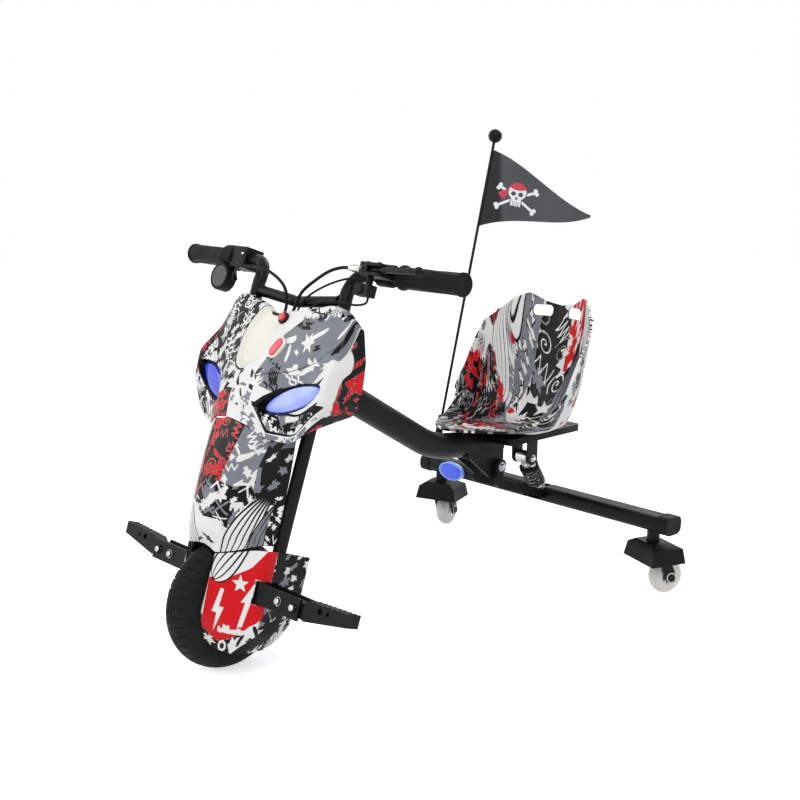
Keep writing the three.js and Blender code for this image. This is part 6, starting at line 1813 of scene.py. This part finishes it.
        # Black fills the sunk hollow round each lens as painted shade, the shadow under its brow; the black
        # seam line is the joint's own dark.
        painter.cover(BLACK, np.maximum(np.where(lens_pocket_shade > 0.02, 6.0, -6.0), 0.7 - seam))
        shell.build(self.bench, self.bench.datum.raked, painter, bare=round_dish < 0.99)

    def column_cover(self) -> None:
        """Mould the column cover."""
        rows = mirrored_rows(self.spread(self.column_rows, self.column, self.seam))
        grid = relaxed(rows, STRAIGHT_STEPS, FINE_STEPS)
        painter = Painter(*unroll(grid))
        print_column(painter)
        shell = Shell("column_cover_shell", grid, self.wall, "steering", "column_cover")
        shell.build(self.bench, self.bench.datum.raked, painter)

    def skirts(self) -> None:
        """Mould the two wheel skirts with their windows, each with its own print."""
        left = relaxed(self.spread(self.skirt_rows, self.skirt), STRAIGHT_STEPS, FINE_STEPS)
        block = rounded_box((78, 120), (-36, 1), (16, 50))
        for side, grid, window in (("left", left, block),
                                   ("right", left * np.array([-1, 1, 1]), block.mirrored())):
            painter = Painter(*unroll(grid))
            print_skirt(painter, side == "left")
            shell = Shell(f"skirt_{side}_shell", grid, self.wall, "steering", f"skirt_{side}")
            shell.build(self.bench, self.bench.datum.raked, painter, window)

    def lenses(self) -> None:
        """Make the two domed leaf lenses with a row of small white lamps in each."""
        finish = self.bench.finish
        angle = full_turn(96)
        across, up = self.leaf(angle)
        rings = []
        for share, depth in ((0.94, -4.4), (1, -4), (1, 1.4), (0.97, 2.6), (0.88, 3.4), (0.7, 4.0),
                             (0.45, 4.35), (0.2, 4.45)):
            rings.append(np.stack([across * share * self.lens_length / 2, up * share * self.lens_height / 2,
                                   np.full(96, depth)], 1))
        form = skin(rings)
        lamps = []
        for x in np.linspace(-37, 37, 13):
            spot = lathe([(0, 3.4), (1.7, 3.4), (1.7, 4.3 - abs(x) * 0.012), (1.1, 4.8 - abs(x) * 0.014),
                          (0, 4.95 - abs(x) * 0.015)], 20)
            lamps.append(spot.moved(x, 7.6 - 0.0052 * x * x, -0.9 - 0.0003 * x * x))
        row = together(lamps)
        for side, label in ((1, "left"), (-1, "right")):
            # The near lens takes the painted pale copy of the blue and the far lens the painted deep copy.
            blue = finish.lens_painted_pale if side > 0 else finish.lens_painted_deep
            for name, part, material, node in (("lens", form, blue, (f"lamp_lens_{label}",)),
                                               ("lamp_row", row, finish.spark, ())):
                placed = Form(carried(part.points, self.lens_frame()) * np.array([side, 1, 1]), part.faces)
                self.bench.piece(f"front_{name}_{label}", placed, self.bench.datum.raked, material,
                                 "steering", "lens_blue", node, sharp=30)

    def buttons(self) -> None:
        """Make the oval power button in its bezel and the round mode knob."""
        finish = self.bench.finish
        count, high, wide = 64, 27.0, 14.0
        angle = full_turn(count)

        def pill(grow: float, depth: float) -> np.ndarray:
            radius = wide / 2 + grow
            shift = np.where(np.sin(angle) >= 0, 1, -1) * (high - wide) / 2
            return np.stack([radius * np.cos(angle), radius * np.sin(angle) + shift, np.full(count, depth)],
                            1)

        cap = skin([pill(-0.4, -5.8), pill(0, -5), pill(0, 4.6), pill(-0.6, 5.5), pill(-1.8, 6),
                    pill(-3, 5.5), pill(-5.2, 5.2)])
        place = posed((38, -63, 373), (-12, "X"), (24, "Y"), (90, "X"))
        raked = self.bench.datum.raked
        self.bench.piece("power_button_cap", cap, raked @ place, finish.pink, "power", "button_red",
                         ("power_button",), sharp=30)
        rings = [pill(0.5, -1), pill(4.2, -1), pill(4.2, 2.6), pill(3.4, 3.6), pill(1.4, 3.8), pill(0.5, 3)]
        self.bench.piece("power_bezel", skin(rings, closed=True), raked @ place, finish.dish, "steering",
                         "printed_shell", sharp=30)
        knob = lathe([(0, -6.5), (6.4, -6.5), (6.4, 1), (6.1, 1.8), (6.1, 5.2), (5.5, 6.2), (3.6, 6.5),
                      (0, 6.5)], 56)
        place = posed((19, -50.5, 418), (-16, "X"), (90, "X"))
        self.bench.piece("mode_knob", knob, raked @ place, finish.button, "mode", "button_red",
                         ("mode_button",), sharp=30)
        collar = lathe([(6.9, -1.5), (9.2, -1.5), (9.2, 1.2), (8.4, 2), (6.9, 2), (6.9, -1.5)], 56)
        self.bench.piece("mode_collar", collar, raked @ place, finish.abs_black, "steering", "black_plastic",
                         sharp=30)


@dataclass
class Seat:
    """Printed bucket seat with its two hand holes."""

    bench: Bench
    half: float = 126.0
    front: float = 449.0
    back: float = 760.0
    low: float = 262.4
    high: float = 492.0
    wall: float = 4.0
    rows: tuple = (
        ((0, 0, .095), (.32, .064, .095), (.62, .225, .08), (.86, .44, .16), (.97, .514, .26)),
        ((0, .16, .084), (.32, .214, .076), (.62, .32, .056), (.86, .45, .11), (1, .545, .32)),
        ((0, .353, .078), (.32, .385, .05), (.62, .45, .026), (.84, .514, .062), (1, .59, .43)),
        ((0, .54, 0), (.32, .56, 0), (.62, .59, .016), (.84, .605, .095), (1, .64, .55)),
        ((0, .72, 0), (.32, .735, .004), (.62, .735, .034), (.86, .675, .165), (1, .68, .64)),
        ((0, .86, .1), (.32, .855, .11), (.62, .82, .165), (.88, .735, .36), (1, .72, .71)),
        ((0, .93, .385), (.32, .918, .39), (.62, .87, .44), (.86, .785, .56), (.99, .75, .77)),
        ((0, .97, .69), (.32, .955, .7), (.6, .905, .725), (.83, .835, .78), (.94, .785, .805)),
        ((0, 1, .905), (.27, .985, .93), (.51, .94, 1), (.7, .885, .95), (.86, .82, .85)),
    )

    def build(self) -> None:
        """Mould the bucket, print it and cut the hand holes."""
        table = mirrored_rows(np.array(self.rows, float))
        place = np.stack([self.half * table[..., 0], self.front + (self.back - self.front) * table[..., 1],
                          self.low + (self.high - self.low) * table[..., 2]], -1)
        grid = relaxed(place, STRAIGHT_STEPS, FINE_STEPS + 1)
        shell = Shell("seat_bucket_shell", grid, self.wall, "frame", "seat_shell", True)
        painter = Painter(*unroll(grid))
        print_seat(painter)
        holes = []
        for side in (-1, 1):
            outline = []
            for k in range(48):
                angle = k / 48 * TAU
                outline.append((side * 36.5 + math.copysign(11.5, math.cos(angle)) + 8 * math.cos(angle),
                                460 + math.copysign(2, math.sin(angle)) + 8 * math.sin(angle)))
            holes.append(prism(outline, 120, "Y").moved(0, 740, 0))
        shell.build(self.bench, self.bench.datum.floor, painter, together(holes))


def skull_print(u: np.ndarray, v: np.ndarray) -> tuple[np.ndarray, np.ndarray]:
    """Draw a plain skull and crossed bones with a red head band.

    Args:
        u: Millimetres to the right of the skull's middle.
        v: Millimetres above it.

    Returns:
        Distances into the white ink and into the red ink.
    """
    white = np.full(u.shape, -6.0)
    for turn in (28, -28):
        a = math.radians(turn)
        x, y = u * math.cos(a) + (v + 6) * math.sin(a), -u * math.sin(a) + (v + 6) * math.cos(a)
        bone = 2.1 - line_distance(x, y, [np.array([(-32.0, 0.0), (32.0, 0.0)])])
        for end in (-34, 34):
            for up in (-2.7, 2.7):
                bone = np.maximum(bone, 3.4 - np.hypot(x - end, y - up))
        white = np.maximum(white, bone)
    head = (1 - np.hypot(u / 14.5, (v - 4) / 13.5)) * 14
    jaw = np.minimum(8.2 - np.abs(u), 13 - np.abs(v + 6))
    halo = np.maximum(head, jaw) + 1.5
    white = np.minimum(white, -halo)
    bone = np.maximum(head, jaw)
    for x in (-5.8, 5.8):
        bone = np.minimum(bone, (np.hypot((u - x) / 4.0, (v - 0.5) / 3.6) - 1) * 4)
    bone = np.minimum(bone, np.maximum(np.abs(u) - 0.8 - (-4.2 - v) * 0.4, np.abs(v + 6.2) - 2.2))
    for x in (-4.5, -1.5, 1.5, 4.5):
        bone = np.minimum(bone, np.maximum(np.abs(u - x) - 0.45, v + 11.5))
    white = np.maximum(white, bone)
    band = np.minimum(head + 1.2, v - 6.5 - 0.02 * u * u)
    for turn in (35, 62):
        a = math.radians(turn)
        x, y = u + 14.5, v - 6
        along, side = -x * math.cos(a) - y * math.sin(a), -x * math.sin(a) + y * math.cos(a)
        ribbon = np.minimum(1.2 + along * 0.16 - np.abs(side), np.minimum(along + 1, 17 - along))
        band = np.maximum(band, ribbon)
    return np.minimum(white, -band), band


@dataclass
class Flag:
    """Pennant on a leaning pole behind the seat."""

    bench: Bench
    x: float = -131.0
    foot: tuple[float, float] = (579.0, 262.0)
    top: tuple[float, float] = (708.0, 773.0)
    hoist_low: float = 612.0
    hoist_high: float = 748.0
    fly: float = 192.0
    sag: float = 50.0
    taper: float = 0.97
    half_thickness: float = 0.3

    def build(self) -> None:
        """Make the pole, its ball and socket, and hang the cloth."""
        finish = self.bench.finish
        datum = self.bench.datum.floor
        foot = np.array([self.x, *self.foot])
        top = np.array([self.x, *self.top])
        up = (top - foot) / np.linalg.norm(top - foot)
        pole = tube(np.array([foot - up * 17, (foot + top) / 2, top]), 2.5, 32)
        ball = lathe([(12.5 * math.cos(a), 12.5 * math.sin(a)) for a in np.linspace(-1.5, 1.5, 37)], 64)
        self.bench.piece("flag_pole_rod", pole.joined(ball.moved(*top)), datum, finish.abs_black, "frame",
                         "pole_black", ("flag_pole",), sharp=60)
        self.bench.copy("flag_bracket", finish.powder, "frame", "frame_paint", 0.7)
        self.cloth(foot, top)

    def cloth(self, foot: np.ndarray, top: np.ndarray) -> None:
        """Hang a folded, printed triangular pennant from the pole, with painted shade beside the hoist."""
        rows, columns = 137, 193
        v, u = np.meshgrid(np.linspace(0, 1, rows), np.linspace(0, 1, columns), indexing="ij")
        z = self.hoist_low + (self.hoist_high - self.hoist_low) * v
        share = (z - foot[2]) / (top[2] - foot[2])
        hoist = foot + (top - foot) * share[..., None]
        middle = ((self.hoist_low + self.hoist_high) / 2 - foot[2]) / (top[2] - foot[2])
        tip = foot + (top - foot) * middle
        points = hoist + (tip - hoist) * (u * self.taper)[..., None]
        out = np.array([math.sqrt(0.5), math.sqrt(0.5), 0])
        face = np.array([math.sqrt(0.5), -math.sqrt(0.5), 0])
        points = points + out * (2.3 + (self.fly - 0.4) * u)[..., None]
        points[..., 2] -= self.sag * u * u * (3 - 2 * u)
        wave = 6 * np.sin(u * TAU * 1.6) * u + 1.4 * np.sin(u * TAU * 3.1 + v * 5) * u * (1 - u)
        points = points + face * wave[..., None]
        normal = grid_normals(points) * self.half_thickness
        both = np.vstack([(points + normal).reshape(-1, 3), (points - normal).reshape(-1, 3)])
        index = np.arange(rows * columns * 2).reshape(2, rows, columns)
        faces = []
        for layer in (0, 1):
            a, b = index[layer, :-1, :-1], index[layer, :-1, 1:]
            c, d = index[layer, 1:, 1:], index[layer, 1:, :-1]
            faces.append(np.stack([a, b, c, d] if layer else [d, c, b, a], -1).reshape(-1, 4))
        for edge in (index[:, 0, :], index[:, -1, ::-1], index[:, ::-1, 0], index[:, :, -1]):
            faces.append(np.stack([edge[0, :-1], edge[0, 1:], edge[1, 1:], edge[1, :-1]], -1))
        form = Form(both, [tuple(face) for face in np.vstack(faces).tolist()])
        cloth = self.bench.piece("flag_pennant", form, self.bench.datum.floor, self.bench.finish.flag,
                                 "frame", "flag_cloth", ("flag_cloth",), sharp=60)
        half = (self.hoist_high - self.hoist_low) / 2
        right = self.fly * u - 56
        above = (v - 0.5) * (1 - u * self.taper) * 2 * half + 1 - 0.12 * right
        white, red = skull_print(right / 1.1, above / 1.1)
        # The third channel is painted shade, darkest beside the hoist and wider towards the bottom, standing
        # in for a fold's shadow.
        ink = np.stack([white, red, 24 * (1.6 - v) - self.fly * u], -1).reshape(-1, 3).astype(np.float32)
        layer = cloth.data.attributes.new("ink", "FLOAT_VECTOR", "POINT")
        layer.data.foreach_set("vector", np.vstack([ink, ink]).reshape(-1))


@dataclass
class Studio:
    """White room, soft lights and the photograph's camera."""

    lens: float = 54.04
    azimuth: float = math.radians(46.358)
    roll: float = math.radians(0.479)
    looking_back: tuple[float, float, float] = (0.7085, -0.6757, 0.2038)
    stand: tuple[float, float, float] = (1.37544, -1.32730, 0.74656)
    floor_glow: float = 0.62
    # Each area light's place, size in metres and power in watts.
    lamps: tuple = (("key", (1.6, -1.4, 2.4), 1.6, 44), ("fill", (-1.6, -1.8, 1.4), 1.8, 20),
                    ("rim", (-0.6, 2.0, 2.0), 1.4, 26))

    def build(self) -> None:
        """Set the world, floor, lights and camera."""
        self.camera()
        self.world()
        self.floor()
        self.lights()

    def camera(self) -> None:
        """Stand the camera where the photograph's outlines place it."""
        data = bpy.data.cameras.new("studio_camera")
        data.lens = self.lens
        data.sensor_width = 36
        data.clip_end = 50
        thing = bpy.data.objects.new("studio_camera", data)
        bpy.context.scene.collection.objects.link(thing)
        back = Vector(self.looking_back).normalized()
        right = Vector((math.cos(self.azimuth), math.sin(self.azimuth), 0))
        up = back.cross(right)
        across = right * math.cos(self.roll) + up * math.sin(self.roll)
        high = up * math.cos(self.roll) - right * math.sin(self.roll)
        turn = Matrix((across, high, back)).transposed().to_4x4()
        thing.matrix_world = Matrix.Translation(Vector(self.stand)) @ turn
        bpy.context.scene.camera = thing
        bpy.context.scene.view_settings.view_transform = "Standard"

    def seen(self, tree: Tree) -> Socket:
        """Tell rays that show the room, straight, mirrored or through glass, from rays that light it."""
        path = add_node(tree, "ShaderNodeLightPath").outputs
        pair = add_node(tree, "ShaderNodeMath", {0: path["Is Camera Ray"], 1: path["Is Glossy Ray"]},
                        operation="MAXIMUM")
        return add_node(tree, "ShaderNodeMath", {0: pair.outputs[0], 1: path["Is Transmission Ray"]},
                        operation="MAXIMUM").outputs[0]

    def world(self) -> None:
        """Show white to the camera and a soft grey sky to everything that it lights."""
        world = bpy.data.worlds.new("white_studio")
        bpy.context.scene.world = world
        world.use_nodes = True
        tree = world.node_tree
        tree.nodes.clear()
        white = add_node(tree, "ShaderNodeBackground", {"Color": (1, 1, 1, 1), "Strength": 1.0})
        sky = add_node(tree, "ShaderNodeBackground", {"Color": (0.9, 0.93, 1, 1), "Strength": 0.5})
        mix = add_node(tree, "ShaderNodeMixShader",
                       {0: self.seen(tree), 1: sky.outputs[0], 2: white.outputs[0]})
        add_node(tree, "ShaderNodeOutputWorld", {0: mix.outputs[0]})

    def floor(self) -> None:
        """Lay a white floor that shows white apart from the object's soft shadow."""
        bpy.ops.mesh.primitive_plane_add(size=12, location=(0, 0, -0.0005))
        thing = bpy.context.object
        thing.name = "studio_floor"
        material = bpy.data.materials.new("white_floor")
        material.use_nodes = True
        tree = material.node_tree
        shader = tree.nodes["Principled BSDF"]
        shader.inputs["Base Color"].default_value = (0.9, 0.9, 0.9, 1)
        shader.inputs["Roughness"].default_value = 0.9
        shader.inputs["Emission Color"].default_value = (1, 1, 1, 1)
        glow = add_node(tree, "ShaderNodeMath", {0: self.seen(tree), 1: self.floor_glow},
                        operation="MULTIPLY")
        tree.links.new(glow.outputs[0], shader.inputs["Emission Strength"])
        thing.data.materials.append(material)

    def lights(self) -> None:
        """Hang a large key light, a fill and a rim light."""
        for name, place, size, power in self.lamps:
            data = bpy.data.lights.new(f"{name}_light", "AREA")
            data.size = size
            data.energy = power
            thing = bpy.data.objects.new(f"{name}_light", data)
            bpy.context.scene.collection.objects.link(thing)
            thing.location = place
            thing.rotation_euler = (Vector(place) - Vector((0, 0, 0.3))).to_track_quat("Z", "Y").to_euler()


def main() -> None:
    """Build the tricycle piece by piece in its studio."""
    logging.basicConfig(level=logging.INFO, format="%(name)s %(message)s")
    bench = Bench()
    Studio().build()
    FrontWheel(bench).build()
    Fork(bench).build()
    Handlebar(bench).build()
    FrontBody(bench).build()
    MainFrame(bench).build()
    RearSwing(bench).build()
    for side in (1, -1):
        Caster(bench, side).build()
    Seat(bench).build()
    Flag(bench).build()
    LOG.info("%d pieces", bench.count)


if __name__ == "__main__":
    main()
